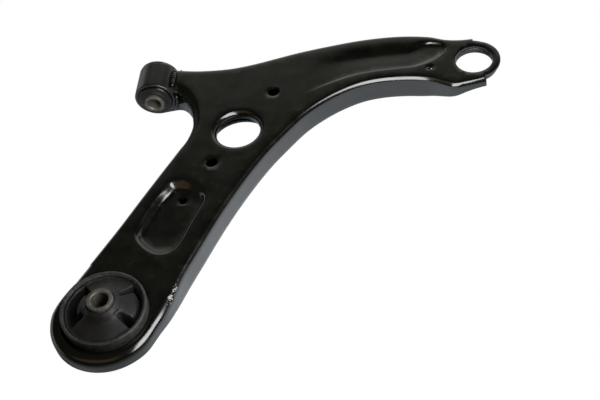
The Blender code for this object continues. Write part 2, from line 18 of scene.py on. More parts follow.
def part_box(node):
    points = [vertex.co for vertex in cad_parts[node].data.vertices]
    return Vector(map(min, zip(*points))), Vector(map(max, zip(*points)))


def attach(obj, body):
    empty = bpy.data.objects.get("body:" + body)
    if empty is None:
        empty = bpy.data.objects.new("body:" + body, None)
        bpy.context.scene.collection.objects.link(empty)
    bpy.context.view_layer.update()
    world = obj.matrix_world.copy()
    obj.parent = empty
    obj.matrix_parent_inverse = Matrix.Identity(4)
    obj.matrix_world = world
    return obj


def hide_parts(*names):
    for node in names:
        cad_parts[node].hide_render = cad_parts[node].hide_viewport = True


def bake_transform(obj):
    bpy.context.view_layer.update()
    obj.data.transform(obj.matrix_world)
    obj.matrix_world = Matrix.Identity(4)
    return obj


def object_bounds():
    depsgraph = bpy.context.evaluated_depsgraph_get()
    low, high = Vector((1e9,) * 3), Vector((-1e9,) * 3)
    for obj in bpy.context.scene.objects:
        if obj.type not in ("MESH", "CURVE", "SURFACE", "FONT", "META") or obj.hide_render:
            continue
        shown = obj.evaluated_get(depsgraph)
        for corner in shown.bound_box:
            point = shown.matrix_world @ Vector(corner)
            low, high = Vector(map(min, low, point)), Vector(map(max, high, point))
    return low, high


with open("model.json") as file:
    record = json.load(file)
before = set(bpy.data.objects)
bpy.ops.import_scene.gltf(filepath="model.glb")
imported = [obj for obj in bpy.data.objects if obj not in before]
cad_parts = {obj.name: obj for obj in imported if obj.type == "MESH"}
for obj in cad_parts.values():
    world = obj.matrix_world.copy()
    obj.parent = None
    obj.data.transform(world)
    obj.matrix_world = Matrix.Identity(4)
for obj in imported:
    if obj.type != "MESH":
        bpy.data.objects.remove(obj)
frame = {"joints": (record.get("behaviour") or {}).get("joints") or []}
CAD_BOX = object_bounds()

MM = 0.001
PIVOTS = {j["name"]: Vector(j["pos_m"]) for j in frame["joints"]}
DATUM = Vector((PIVOTS["rear_bush_tilt"].x, PIVOTS["rear_bush_tilt"].y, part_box("upper_shell")[1].z))


def place(p):
    return Vector(p) * MM + DATUM


def span(node):
    """Lowest and highest corner of a CAD node in datum millimetres."""
    return tuple((corner - DATUM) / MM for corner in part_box(node))


def half(corners, axis="x"):
    """Half of a node's extent along one axis."""
    return (getattr(corners[1], axis) - getattr(corners[0], axis)) / 2


# ---------------------------------------------------------------- sizes

SHEET = 3.0
GAP = 0.3
EDGE_ROUND = 0.55               # rolled corner of every cut sheet edge
CRISP_ANGLE = 35.0              # edges sharper than this many degrees are shaded crisp
EDGE_WEAR = 0.7                 # wear of a cut edge; the middle of a bend has 1
BEND_END_WEAR = 0.3
BEND = 5.0
SADDLE_BEND = 9.0
REAR_BEND = 6.5
LEAST_BEND = 3.6
LOWER_BEND = 3.4
FLANGE_DEPTH = 24.0
REAR_DEPTH = 13.5
EYE_DEPTH = 9.5
SADDLE_DEPTH = 33.0
REAR_LAND_R = 40.0
REAR_CLEAR_R = 43.2
REAR_RAMP_Y = (-22.0, 48.0)     # the flange deepens along this stretch
EYE_RAMP_X = (248.0, 306.0)     # and gets shallow again along this one
SADDLE_RAMP_X = (2.0, 40.0)
SADDLE_FROM_Y = 200.0
SADDLE_BEND_Y = (190.0, 215.0)
REAR_BEND_REACH = 56.0
LOWER_FLOOR_RISE = 2.0          # lower shell's underside above the upper flange's edge
LOWER_BEND_CLEAR = 1.4
LOWER_END_X = 262.0             # the lower shell stops here, short of the eye
SEAM_INSET = 1.76

EYE_LOW, EYE_HIGH = EYE_SPAN = span("ball_joint_eye_ring")
EYE = ((EYE_LOW.x + EYE_HIGH.x) / 2, (EYE_LOW.y + EYE_HIGH.y) / 2)
EYE_RING_R = half(EYE_SPAN)
EYE_BORE_R = 17.0
EYE_LAND_R = 24.0

WINDOW = (87.1, 199.0)
WINDOW_R = 20.2
WINDOW_BEND = 5.0
WINDOW_DEPTH = 8.5
LOWER_WINDOW_R = WINDOW_R + 8.0
SEAT_BEND = 3.2                 # collar round the rear bush
SEAT_DEPTH = 7.0
DATUM_HOLES = (((116.0, 244.0), 5.5), ((68.0, 159.5), 5.6))
SMALL_HOLE = ((259.5, 266.6), 2.3)
PANEL_HOLE = ((46.5, 120.0), 3.6)

SLEEVE_LOW, SLEEVE_HIGH = SLEEVE_SPAN = span("rear_bush_sleeve")
SLEEVE_R = half(SLEEVE_SPAN)
CORE_SPAN = span("rear_bush_core")
CORE_R = half(CORE_SPAN)
CORE_BORE_R = 7.25
COLLAR_LOW, COLLAR_HIGH = COLLAR_SPAN = span("rear_bush_collar")
COLLAR_R = half(COLLAR_SPAN)
REAR_PIVOT_Z = (PIVOTS["rear_bush_tilt"].z - DATUM.z) / MM

TUBE_SPAN = span("front_bush_tube")
TUBE_R = half(TUBE_SPAN)
TUBE_WALL = 3.0
TUBE_HALF = half(TUBE_SPAN, "y")
FRONT = (TUBE_SPAN[0] + TUBE_SPAN[1]) / 2
FRONT_CORE_SPAN = span("front_bush_core")
FRONT_CORE_HALF = half(FRONT_CORE_SPAN, "y")
FRONT_CORE_R = half(FRONT_CORE_SPAN)
FRONT_CORE_BORE_R = 6.1

# Outer face of the flange, anticlockwise from above
REAR_LOBE = (-0.5, -2, 46.5)  # centre and radius of the rounded rear end
OUTER_EDGE = ((46, -10), (50, 0), (54, 14), (60.5, 40), (70, 66), (84, 103), (100, 139), (117, 171),
              (131, 192), (147, 213.5), (163.5, 229), (180, 240.5), (197.5, 249), (214.5, 253),
              (233, 254.2), (250.5, 253.3), (262, 251), (272, 246.5), (279, 243.3), (285, 242.5),
              (292, 243.9), (301, 246), (311, 249))
BACK_EDGE = ((299, 305), (288, 304.2), (274, 305.5), (260, 310), (241, 312.5), (222, 312.8), (193, 310),
             (165, 304.5), (136, 297.5), (118, 292), (99, 286), (86, 282.5), (70, 279.5), (41, 278.5),
             (16, 281), (4, 282))
SADDLE_EDGE = ((4, 254.5), (12, 254.5), (22, 252), (30.5, 244.5), (37.5, 232.5), (41.5, 218.5), (43, 205),
               (41, 190))
LEFT_EDGE = ((35, 177), (23.5, 152.5), (8.5, 120), (-4.5, 91), (-17.5, 64), (-29, 40.5), (-40, 18),
             (-45, 8))

POCKET_EDGE = ((15.5, 104), (10, 80), (18, 67), (32, 58), (44, 59), (51.5, 66), (62.5, 97), (69, 119),
               (65, 131), (54, 140), (42, 143.5), (31, 140), (26, 130))
POCKET_DEPTH = 5.5
POCKET_DISH = 1.0               # rise of the pocket's floor nearer than POCKET_DISH_Y
POCKET_DISH_Y = 86.0
POCKET_DISH_REACH = 25.0
POCKET_WALL = 7.2
POCKET_FAR_EXTRA = 3.8          # the wall is this much wider at the far end
POCKET_FAR_Y = (120.0, 138.0)
RECESS_EDGE = ((132, 233), (150, 241), (168, 250.5), (187, 259), (205, 263.5), (231, 266.5), (248, 268.2),
               (261, 273.5), (271, 282), (275.5, 291), (272, 299), (262, 302), (232, 303), (203, 301),
               (180, 297.5), (156, 291.5), (138, 285), (120, 274), (112, 254))
RECESS_NEAR_DEPTH = 1.2
RECESS_FAR_DEPTH = 1.85
RECESS_TILT = (2.0, 26.0)       # distance from the near side over which the floor falls
RECESS_FADE_X = (141.0, 200.0)
RECESS_WALL = 6.0
RECESS_FAR_EXTRA = 11.0
RECESS_NEAR_LESS = 2.6
RECESS_CORNER_WALL = 3.6
RECESS_CORNER_X = (236.0, 261.0)
RECESS_CORNER_Y = 285.0


# ---------------------------------------------------------------- plane geometry

def smoothstep(a, b, x):
    t = min(max((x - a) / (b - a), 0.0), 1.0)
    return t * t * (3.0 - 2.0 * t)


def mix(a, b, t):
    return a + (b - a) * t


def between(p, q, start, end, t):
    """The point that lies at t between p at start and q at end."""
    return p * ((end - t) / (end - start)) + q * ((t - start) / (end - start))


def spline(knots, closed, step):
    """Evenly dense points on a centripetal spline through the knots."""
    pts = [Vector(k) for k in knots]
    count = len(pts)
    out = []
    for i in range(count if closed else count - 1):
        if closed:
            p0, p1, p2, p3 = (pts[(i + k) % count] for k in (-1, 0, 1, 2))
        else:
            p1, p2 = pts[i], pts[i + 1]
            p0 = pts[i - 1] if i else p1 * 2 - p2
            p3 = pts[i + 2] if i + 2 < count else p2 * 2 - p1
        t0 = 0.0
        t1 = t0 + math.sqrt((p1 - p0).length)
        t2 = t1 + math.sqrt((p2 - p1).length)
        t3 = t2 + math.sqrt((p3 - p2).length)
        n = max(2, round((p2 - p1).length / step))
        for k in range(n):
            t = mix(t1, t2, k / n)
            a1 = between(p0, p1, t0, t1, t)
            a2 = between(p1, p2, t1, t2, t)
            a3 = between(p2, p3, t2, t3, t)
            out.append(between(between(a1, a2, t0, t2, t), between(a2, a3, t1, t3, t), t1, t2, t))
    if not closed:
        out.append(pts[-1])
    return out


def outward(points, closed):
    """Unit normals to the right of the direction of travel."""
    count = len(points)
    out = []
    for i in range(count):
        if closed:
            d = points[(i + 1) % count] - points[i - 1]
        else:
            d = points[min(i + 1, count - 1)] - points[max(i - 1, 0)]
        out.append(Vector((d.y, -d.x)).normalized())
    return out


def polar(radius, degrees):
    a = math.radians(degrees)
    return Vector((radius * math.cos(a), radius * math.sin(a)))


def circle(centre, radius, sides):
    return [Vector((centre[0] + radius * math.cos(math.tau * k / sides),
                    centre[1] + radius * math.sin(math.tau * k / sides))) for k in range(sides)]


def offset_line(points, normals, amounts):
    return [p - n * a for p, n, a in zip(points, normals, amounts)]


def lobe_knots():
    x, y, r = REAR_LOBE
    return tuple(Vector((x, y)) + polar(r, a) for a in range(175, 340, 15))


def flange_lines(step):
    """Outer face of the flange behind the tube, and in front of it round the rear to the eye."""
    back = spline(BACK_EDGE, False, step)
    front = spline(SADDLE_EDGE + LEFT_EDGE + lobe_knots() + OUTER_EDGE, False, step)
    return back, front


def inside(loop, x, y):
    """Which of the points lie inside the closed loop."""
    hit = np.zeros(len(x), bool)
    for (ax, ay), (bx, by) in zip(loop, np.roll(loop, -1, axis=0)):
        if ay != by:
            hit ^= ((ay > y) != (by > y)) & (x < ax + (y - ay) * (bx - ax) / (by - ay))
    return hit


def holds(loop, p):
    """Whether one point lies inside the closed loop."""
    x, y = p[0], p[1]
    hit = False
    ax, ay = loop[-1]
    for bx, by in loop:
        if (ay > y) != (by > y) and x < ax + (y - ay) * (bx - ax) / (by - ay):
            hit = not hit
        ax, ay = bx, by
    return hit


def distances(loop, x, y):
    """Distance of every point to the closed loop."""
    best = np.full(len(x), 1e9)
    for (ax, ay), (bx, by) in zip(loop, np.roll(loop, -1, axis=0)):
        ex, ey = bx - ax, by - ay
        t = np.clip(((x - ax) * ex + (y - ay) * ey) / (ex * ex + ey * ey + 1e-12), 0, 1)
        best = np.minimum(best, np.hypot(x - ax - t * ex, y - ay - t * ey))
    return best


def flange_depth(p):
    """Height of the upper shell's flange at a place on its outer face."""
    depth = FLANGE_DEPTH
    depth -= (FLANGE_DEPTH - REAR_DEPTH) * (1.0 - smoothstep(*REAR_RAMP_Y, p.y))
    depth -= (FLANGE_DEPTH - EYE_DEPTH) * smoothstep(*EYE_RAMP_X, p.x)
    if p.y > SADDLE_FROM_Y:
        depth += (SADDLE_DEPTH - FLANGE_DEPTH) * (1.0 - smoothstep(*SADDLE_RAMP_X, p.x))
    return depth


def flange_bend(p):
    """Outer bend radius, which has to leave a land round the rear bush."""
    radius = BEND
    if p.length < REAR_BEND_REACH:
        radius = min(max(p.length - REAR_LAND_R, LEAST_BEND), REAR_BEND)
    if 190.0 < p.y < 262.0 and p.x < 60.0:
        radius = mix(radius, SADDLE_BEND, smoothstep(*SADDLE_BEND_Y, p.y))
    return radius


# ---------------------------------------------------------------- mesh helpers

def linked(name, bm, mat):
    """Object in the scene from a mesh that is already in the frame's metres."""
    mesh = bpy.data.meshes.new(name)
    bm.to_mesh(mesh)
    bm.free()
    mesh.materials.append(mat)
    ob = bpy.data.objects.new(name, mesh)
    bpy.context.scene.collection.objects.link(ob)
    return ob


def shaded(mesh, crisp):
    mesh.shade_smooth()
    mesh.set_sharp_from_angle(angle=math.radians(crisp))


def finish_mesh(name, bm, mat, crisp=CRISP_ANGLE):
    """Smooth-shaded object from a mesh in datum millimetres."""
    for v in bm.verts:
        v.co = place(v.co)
    ob = linked(name, bm, mat)
    shaded(ob.data, crisp)
    return ob


def stands_for(ob, node, body="arm"):
    """Hangs the piece on a body, in place of a CAD node; with no body given it is left unattached."""
    if body:
        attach(ob, body)
    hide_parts(node)


def stitch(bm, a, b, closed):
    """Faces between two rows of vertices."""
    n = len(a)
    for k in range(n if closed else n - 1):
        j = (k + 1) % n
        bm.faces.new((a[k], a[j], b[j], b[k]))


def frames_along(pts):
    """Points of a path with two unit vectors square to it at each."""
    out = []
    for i, p in enumerate(pts):
        d = pts[min(i + 1, len(pts) - 1)] - pts[max(i - 1, 0)]
        d.normalize()
        side = d.cross(Vector((0.0, 0.0, 1.0)))
        if side.length < 0.2:
            side = d.cross(Vector((1.0, 0.0, 0.0)))
        side.normalize()
        out.append((p, side, side.cross(d)))
    return out


def turned(profile, sides, centre=(0.0, 0.0, 0.0), axis="Z", wobble=None):
    """Closed body from a closed profile of (radius, height) points round the axis."""
    bm = bmesh.new()
    rows = []
    for k in range(sides):
        a = math.tau * k / sides
        row = []
        for radius, height in profile:
            if wobble:
                radius = wobble(radius, height, a)
            x, y, z = radius * math.cos(a), radius * math.sin(a), height
            p = Vector((x, z, -y)) if axis == "Y" else Vector((x, y, z))
            row.append(bm.verts.new(p + Vector(centre)))
        rows.append(row)
    n = len(profile)
    for k in range(sides):
        a, b = rows[k], rows[(k + 1) % sides]
        for j in range(n):
            bm.faces.new((a[j], b[j], b[(j + 1) % n], a[(j + 1) % n]))
    bmesh.ops.recalc_face_normals(bm, faces=bm.faces)
    return bm


def rounded(profile, radii, steps=4):
    """Closed profile with each corner turned into an arc of its own radius."""
    out = []
    n = len(profile)
    for i, radius in enumerate(radii):
        p = Vector(profile[i])
        a = Vector(profile[i - 1]) - p
        b = Vector(profile[(i + 1) % n]) - p
        if radius <= 0.0:
            out.append(tuple(p))
            continue
        reach = min(radius / max(math.tan(0.5 * a.angle(b)), 0.05), 0.45 * a.length, 0.45 * b.length)
        start, end = p + a.normalized() * reach, p + b.normalized() * reach
        for k in range(steps + 1):
            t = k / steps
            out.append(tuple(start * (1 - t) ** 2 + p * 2 * t * (1 - t) + end * t * t))
    return out


BEAD_STEP = 0.45


def bead(name, path, radius, seed, pitch=2.2, ripple=0.16, sides=14):
    """Weld bead: a rippled, uneven tube along a path of datum points, closed at both ends."""
    pts = [Vector(p) for p in path]
    dense = []
    for a, b in zip(pts[:-1], pts[1:]):
        n = max(1, round((b - a).length / BEAD_STEP))
        dense += [a.lerp(b, k / n) for k in range(n)]
    dense.append(pts[-1])
    bm = bmesh.new()
    rows = []
    travelled = 0.0
    rings = frames_along(dense)
    total = sum((b - a).length for a, b in zip(dense[:-1], dense[1:]))
    for i, (p, side, up) in enumerate(rings):
        if i:
            travelled += (p - rings[i - 1][0]).length
        wave = (travelled + 0.25 * math.sin(travelled * 0.9 + seed)) / pitch
        saw = 1.0 - abs(2.0 * (wave % 1.0) - 1.0) ** 1.6
        swell = noise.noise(Vector((travelled * 0.16, seed, 0.5)))
        r = radius * (1.0 - ripple + ripple * saw + 0.22 * swell)
        ends = min(travelled, total - travelled)
        r *= math.sqrt(max(smoothstep(-0.4, 2.2 * radius, ends), 0.05))
        row = []
        for k in range(sides):
            a = math.tau * k / sides
            bump = 1.0 + 0.06 * noise.noise(Vector((p.x, p.y, p.z)) * 0.9 + Vector((k * 0.4, seed, 0)))
            row.append(bm.verts.new(p + (side * math.cos(a) + up * math.sin(a)) * r * bump))
        rows.append(row)
    for a, b in zip(rows[:-1], rows[1:]):
        stitch(bm, a, b, True)
    bm.faces.new(rows[0])
    bm.faces.new(rows[-1])
    bmesh.ops.recalc_face_normals(bm, faces=bm.faces)
    stands_for(finish_mesh(name + "_bead", bm, WELD, 50.0), name)


# ---------------------------------------------------------------- pressed sheet

def flat(loop):
    return np.array([v.co[:2] for v in loop])


def loose_points(loops, outer, holes, panels, pitch):
    """Staggered grid of points clear of every loop, outside the holes and the panels' walls."""
    xy = np.concatenate([flat(loop) for loop in loops])
    low, high = xy.min(0), xy.max(0)
    grid = []
    for k, y in enumerate(np.arange(low[1], high[1], pitch * 0.866)):
        grid += [(x, y) for x in np.arange(low[0] + (k % 2) * pitch / 2, high[0], pitch)]
    grid = np.array(grid)
    x, y = grid.T
    keep = inside(flat(outer), x, y)
    for loop in loops:
        keep &= distances(flat(loop), x, y) > 0.55 * pitch
    for hole in holes:
        keep &= ~inside(flat(hole), x, y)
    for panel in panels:
        keep &= ~(inside(flat(panel[0]), x, y) & ~inside(flat(panel[-1]), x, y))
    return [Vector(g) for g in grid[keep]]


class Sheet:
    """Pressed sheet: the show face is laid out, the back face follows it, the cut edges are rolled.

    side is +1 where the show face looks up and the flanges hang down, -1 for the reverse.
    """

    def __init__(self, side, height, edge=EDGE_ROUND, flat_normals=False):
        self.bm = bmesh.new()
        self.wear = self.bm.verts.layers.float.new("worn")
        self.side = side
        self.height = height
        self.edge = edge
        self.flat_normals = flat_normals
        self.draft = {}
        self.normal = {}
        self.worn = {}

    def vert(self, co, normal, worn=0.0):
        v = self.bm.verts.new(co)
        self.normal[v] = Vector(normal)
        self.worn[v] = worn
        return v

    def loop(self, points, height=None):
        height = height or self.height
        return [self.vert((p.x, p.y, height(p)), (0.0, 0.0, self.side)) for p in points]

    def turn_down(self, line, normals, start, bend_of, depth_of, steps, walls=5, closed=False):
        """Bend and wall hung from a row of vertices along a line of the wall's outer face."""
        s = self.side
        base = [v.co.z for v in start]
        for v in start:
            self.worn[v] = BEND_END_WEAR
        previous = start
        for k in range(1, steps + 1):
            a = 0.5 * math.pi * k / steps
            row = []
            for p, n, z in zip(line, normals, base):
                r = bend_of(p)
                q = p - n * (r * (1.0 - math.sin(a)))
                row.append(self.vert((q.x, q.y, z - s * r * (1.0 - math.cos(a))),
                                     (n.x * math.sin(a), n.y * math.sin(a), s * math.cos(a)),
                                     math.sin(2.0 * a) ** 0.5 if k < steps else BEND_END_WEAR))
            stitch(self.bm, previous, row, closed)
            previous = row
        for k in range(1, walls + 1):
            t = k / walls
            row = [self.vert((p.x, p.y, z - s * mix(bend_of(p), depth_of(p), t)), (n.x, n.y, 0.0))
                   for p, n, z in zip(line, normals, base)]
            stitch(self.bm, previous, row, closed)
            previous = row

    def collar(self, centre, radius, bend, depth, sides, steps):
        """Drawn collar turned down round a hole; gives back its rim loop in the sheet."""
        wall = circle(centre, radius, sides)
        inward = [(Vector(centre) - p).normalized() for p in wall]
        rim = self.loop(offset_line(wall, inward, [bend] * sides))
        self.turn_down(wall, inward, rim, lambda p: bend, lambda p: depth, steps, 4, True)
        return rim

    def fill(self, outer, holes, panels, pitch):
        """Triangles inside the outer loop and outside the holes, keeping each panel line."""
        loops = [outer] + holes + [line for panel in panels for line in panel]
        verts = [v for loop in loops for v in loop]
        edges = []
        first = 0
        for loop in loops:
            edges += [(first + k, first + (k + 1) % len(loop)) for k in range(len(loop))]
            first += len(loop)
        extra = loose_points(loops, outer, holes, panels, pitch)
        points = [v.co.xy.copy() for v in verts] + extra
        made = verts + self.loop(extra)
        out, _, faces, origin, _, _ = delaunay_2d_cdt(points, edges, [], 0, 1e-6)
        table = []
        for k, p in enumerate(out):
            if origin[k]:
                table.append(made[origin[k][0]])
            else:
                table.append(self.vert((p.x, p.y, self.height(p)), (0.0, 0.0, self.side)))
        centres = np.array([sum((np.array(table[i].co[:2]) for i in f), np.zeros(2)) / len(f)
                            for f in faces])
        wanted = inside(flat(outer), *centres.T)
        for hole in holes:
            wanted &= ~inside(flat(hole), *centres.T)
        for f, yes in zip(faces, wanted):
            if yes:
                self.bm.faces.new([table[i] for i in f])

    def surface_normals(self):
        """Lets the thickness follow the panels: loop vertices take the mesh's own normals."""
        self.bm.normal_update()
        for v, n in self.normal.items():
            if abs(n.z) > 0.999 and v.link_faces and not v.is_boundary:
                self.normal[v] = v.normal.copy() if v.normal.z * self.side > 0 else -v.normal

    def face_out(self):
        """Turns the show face the right way."""
        faces = self.bm.faces
        bmesh.ops.recalc_face_normals(self.bm, faces=faces)
        if sum(f.normal.z * f.calc_area() for f in faces) * self.side < 0.0:
            bmesh.ops.reverse_faces(self.bm, faces=faces)

    def rolled_edge(self, v, home, roll, thick):
        """Vertices round a cut edge, from the show face to just before the back one."""
        n, c = self.normal[v], self.edge
        ring = [v]
        for base, sense, eighths in ((0.0, 1.0, (1, 2)), (thick, -1.0, (2, 1))):
            if sense < 0 and v in self.draft:
                ring.append(self.bm.verts.new(home - n * 0.5 * thick + roll * (self.draft[v] - c)))
            for k in eighths:
                a = 0.25 * math.pi * k
                ring.append(self.bm.verts.new(home - roll * c * (1.0 - math.sin(a))
                                              - n * (base + sense * c * (1.0 - math.cos(a)))))
        for r in ring[1:3]:
            r[self.wear] = EDGE_WEAR
        v.co = home - roll * c
        return ring

    def close(self, thickness=lambda p: SHEET):
        """Adds the back face and the rolled cut edges, which makes one closed body."""
        bm = self.bm
        self.face_out()
        if not self.flat_normals:
            self.surface_normals()
        faces = list(bm.faces)
        following = {loop.vert: loop.link_loop_next.vert for e in bm.edges if len(e.link_faces) == 1
                     for loop in e.link_faces[0].loops if loop.edge == e}
        before = {b: a for a, b in following.items()}
        home = {v: v.co.copy() for v in self.normal}
        roll = {v: (home[following[v]] - home[before[v]]).cross(self.normal[v]).normalized()
                for v in following}
        for v, value in self.worn.items():
            v[self.wear] = value
        twin = {}
        for v, n in self.normal.items():
            if v.link_faces:
                co = home[v] - n * thickness(home[v])
                twin[v] = bm.verts.new(co - roll[v] * self.edge if v in roll else co)
        rings = {v: self.rolled_edge(v, home[v], roll[v], thickness(home[v])) + [twin[v]]
                 for v in following}
        for f in faces:
            bm.faces.new([twin[v] for v in reversed(f.verts)])
        for a, b in following.items():
            for k in range(len(rings[a]) - 1):
                bm.faces.new((rings[b][k], rings[a][k], rings[a][k + 1], rings[b][k + 1]))
        bmesh.ops.delete(bm, geom=[v for v in bm.verts if not v.link_faces], context="VERTS")
        return bm


FOOT_ROUND = 0.25               # share of a panel wall's width that is rounded at its foot


def panel_loops(sheet, edge, amounts, floor, steps, lip=0.45):
    """Loops down a pressed panel's wall: rounded at the lip, straight, rounded at the floor."""
    normals = outward(edge, True)
    loops = []
    for k in range(steps + 1):
        t = k / steps
        line = offset_line(edge, normals, [a * t for a in amounts])
        drop = wall_profile(t, lip, FOOT_ROUND)
        loops.append(sheet.loop(line, lambda p, drop=drop: floor(p) * drop))
    return loops


def wall_profile(t, lip, foot):
    """Share of a pressed wall's drop: parabolas at lip and foot joined by a straight slope."""
    slope = 1.0 / (1.0 - 0.5 * lip - 0.5 * foot)
    if t < lip:
        return 0.5 * slope * t * t / lip
    if t > 1.0 - foot:
        return 1.0 - 0.5 * slope * (1.0 - t) ** 2 / foot
    return slope * (t - 0.5 * lip)


def eye_arc(start, end, sides):
    """Edge of the eye's land from the flange's front cut round to its back cut."""
    centre = Vector(EYE)
    arms = (start - centre, end - centre)
    (a0, a1), (r0, r1) = [math.atan2(d.y, d.x) for d in arms], [d.length for d in arms]
    out = []
    for k in range(1, sides):
        t = k / sides
        a = mix(a0, a1, t)
        r = mix(mix(r0, r1, t), EYE_LAND_R, min(1.0, 9.0 * min(t, 1.0 - t)))
        out.append(centre + Vector((math.cos(a), math.sin(a))) * r)
    return out


RECESS_NEAR = spline(RECESS_EDGE[:7], False, 6.0)


def recess_floor(p):
    """Floor of the long recess: deepest along its far side, fading out towards the window."""
    fade = smoothstep(*RECESS_FADE_X, p[0])
    near = min((Vector(p[:2]) - q).length for q in RECESS_NEAR)
    return -fade * mix(RECESS_NEAR_DEPTH, RECESS_FAR_DEPTH, smoothstep(*RECESS_TILT, near))


def pocket_floor(p):
    """Floor of the pocket, rising a little towards its near end."""
    return -POCKET_DEPTH + POCKET_DISH * (max(POCKET_DISH_Y - p[1], 0.0) / POCKET_DISH_REACH) ** 2


def deck_height(p):
    """Height of the upper shell's top between its panel walls."""
    if holds(POCKET_FLOOR, p):
        return pocket_floor(p)
    if holds(RECESS_FLOOR, p):
        return recess_floor(p)
    return 0.0


def recess_walls(edge):
    """Wall width by which way the edge faces: wide along the far side, tight along the near one."""
    widths = []
    for n in outward(edge, True):
        far = smoothstep(0.2, 0.95, n.y)
        near = smoothstep(0.2, 0.9, -n.y)
        widths.append(RECESS_WALL + RECESS_FAR_EXTRA * far - RECESS_NEAR_LESS * near)
    for k, p in enumerate(edge):
        end = RECESS_CORNER_WALL if p.y > RECESS_CORNER_Y else RECESS_WALL
        widths[k] = mix(widths[k], end, smoothstep(*RECESS_CORNER_X, p.x))
    return widths


def foot_line(rim, widths):
    """Line round a panel's floor, at the foot of its wall."""
    return [tuple(p) for p in offset_line(rim, outward(rim, True), widths)]


POCKET_RIM = spline(POCKET_EDGE, True, 1.6)
RECESS_RIM = spline(RECESS_EDGE, True, 1.8)
POCKET_WIDTHS = [POCKET_WALL + POCKET_FAR_EXTRA * smoothstep(*POCKET_FAR_Y, p[1]) for p in POCKET_RIM]
POCKET_FLOOR = foot_line(POCKET_RIM, POCKET_WIDTHS)
RECESS_WIDTHS = recess_walls(RECESS_RIM)
RECESS_FLOOR = foot_line(RECESS_RIM, RECESS_WIDTHS)


def tube_cutter():
    """Cylinder that trims both shells to the front bush tube."""
    bm = bmesh.new()
    bmesh.ops.create_cone(bm, cap_ends=True, segments=96, radius1=TUBE_R + GAP, radius2=TUBE_R + GAP,
                          depth=120.0, matrix=Matrix.Translation(FRONT) @ Matrix.Rotation(
                              math.pi / 2, 4, "X"))
    return finish_mesh("tube_cutter", bm, COAT)


def trimmed(ob, tool):
    """The object with the tool cut away, as a plain mesh."""
    mod = ob.modifiers.new("trim", "BOOLEAN")
    mod.object = tool
    mod.solver = "EXACT"
    bpy.context.view_layer.update()
    mesh = bpy.data.meshes.new_from_object(ob.evaluated_get(bpy.context.evaluated_depsgraph_get()))
    ob.modifiers.clear()
    ob.data = mesh
    shaded(mesh, CRISP_ANGLE)
    return ob


def upper_shell(tool):
    """Main pressing: flat top, flanges down, flanged window, pocket and long recess."""
    sheet = Sheet(1.0, deck_height)
    loops = []
    for line in reversed(flange_lines(1.8)):
        normals = outward(line, False)
        top = offset_line(line, normals, [flange_bend(p) for p in line])
        loops.append(sheet.loop(top, lambda p: 0.0))
        sheet.turn_down(line, normals, loops[-1], flange_bend, flange_depth, 8)
    arc = sheet.loop(eye_arc(loops[0][-1].co.xy, loops[1][0].co.xy, 70), lambda p: 0.0)
    outer = loops[0] + arc + loops[1]

    holes = [sheet.loop(circle(EYE, EYE_BORE_R, 96), lambda p: 0.0),
             sheet.collar(WINDOW, WINDOW_R, WINDOW_BEND, WINDOW_DEPTH, 110, 9),
             sheet.collar((0.0, 0.0), SLEEVE_R + GAP, SEAT_BEND, SEAT_DEPTH, 140, 5)]
    for (centre, radius), sides, z in ((DATUM_HOLES[0], 40, 0.0), (DATUM_HOLES[1], 40, 0.0),
                                       (SMALL_HOLE, 24, 0.0), (PANEL_HOLE, 28, -POCKET_DEPTH)):
        holes.append(sheet.loop(circle(centre, radius, sides), lambda p, z=z: z))

    panels = [panel_loops(sheet, POCKET_RIM, POCKET_WIDTHS, pocket_floor, 9, 0.55),
              panel_loops(sheet, RECESS_RIM, RECESS_WIDTHS, recess_floor, 7)]
    sheet.fill(outer, holes, panels, 4.5)
    ob = trimmed(finish_mesh("upper_shell_pressing", sheet.close(), COAT), tool)
    stands_for(ob, "upper_shell")


def underside(p):
    """Underside of the lower shell, which follows the flange and cradles the front tube."""
    z = LOWER_FLOOR_RISE - flange_depth(p)
    if p.y > 225.0 and p.x < 42.0:
        reach = TUBE_R + GAP + SHEET
        drop = math.sqrt(max(reach * reach - p.x * p.x, 0.0))
        z = min(LOWER_FLOOR_RISE - FLANGE_DEPTH, FRONT.z - drop - GAP)
    return z


def closing_depth(p):
    """Height of the lower shell's flange, which stops below the upper shell's bend."""
    return min(0.5 * flange_depth(p), -underside(p) - flange_bend(p) - LOWER_BEND_CLEAR)


def lower_shell(tool):
    """Closing pressing nested between the flanges, its own flanges turned up."""
    sheet = Sheet(-1.0, underside)
    back, front = flange_lines(2.4)
    loops = []
    for line, keep in ((front, lambda p: p.y > 62.0 and p.x < 0.5 * p.y),
                       (front, lambda p: p.y > 30.0 and 0.5 * p.y <= p.x < LOWER_END_X),
                       (back, lambda p: p.x < LOWER_END_X)):
        run = [(p, n) for p, n in zip(line, outward(line, False)) if keep(p)]
        normals = [n for _, n in run]
        line = offset_line([p for p, _ in run], normals, [SHEET + GAP] * len(run))
        loops.append(sheet.loop(offset_line(line, normals, [LOWER_BEND] * len(line))))
        sheet.turn_down(line, normals, loops[-1], lambda p: LOWER_BEND, closing_depth, 6, 3)
    arc = sheet.loop([polar(REAR_CLEAR_R, a) for a in range(112, 28, -3)])
    window = sheet.loop(circle(WINDOW, LOWER_WINDOW_R, 90))
    sheet.fill(loops[0] + arc + loops[1] + loops[2], [window], [], 5.0)
    ob = trimmed(finish_mesh("lower_shell_pressing", sheet.close(), COAT), tool)
    stands_for(ob, "lower_shell")


# ---------------------------------------------------------------- materials

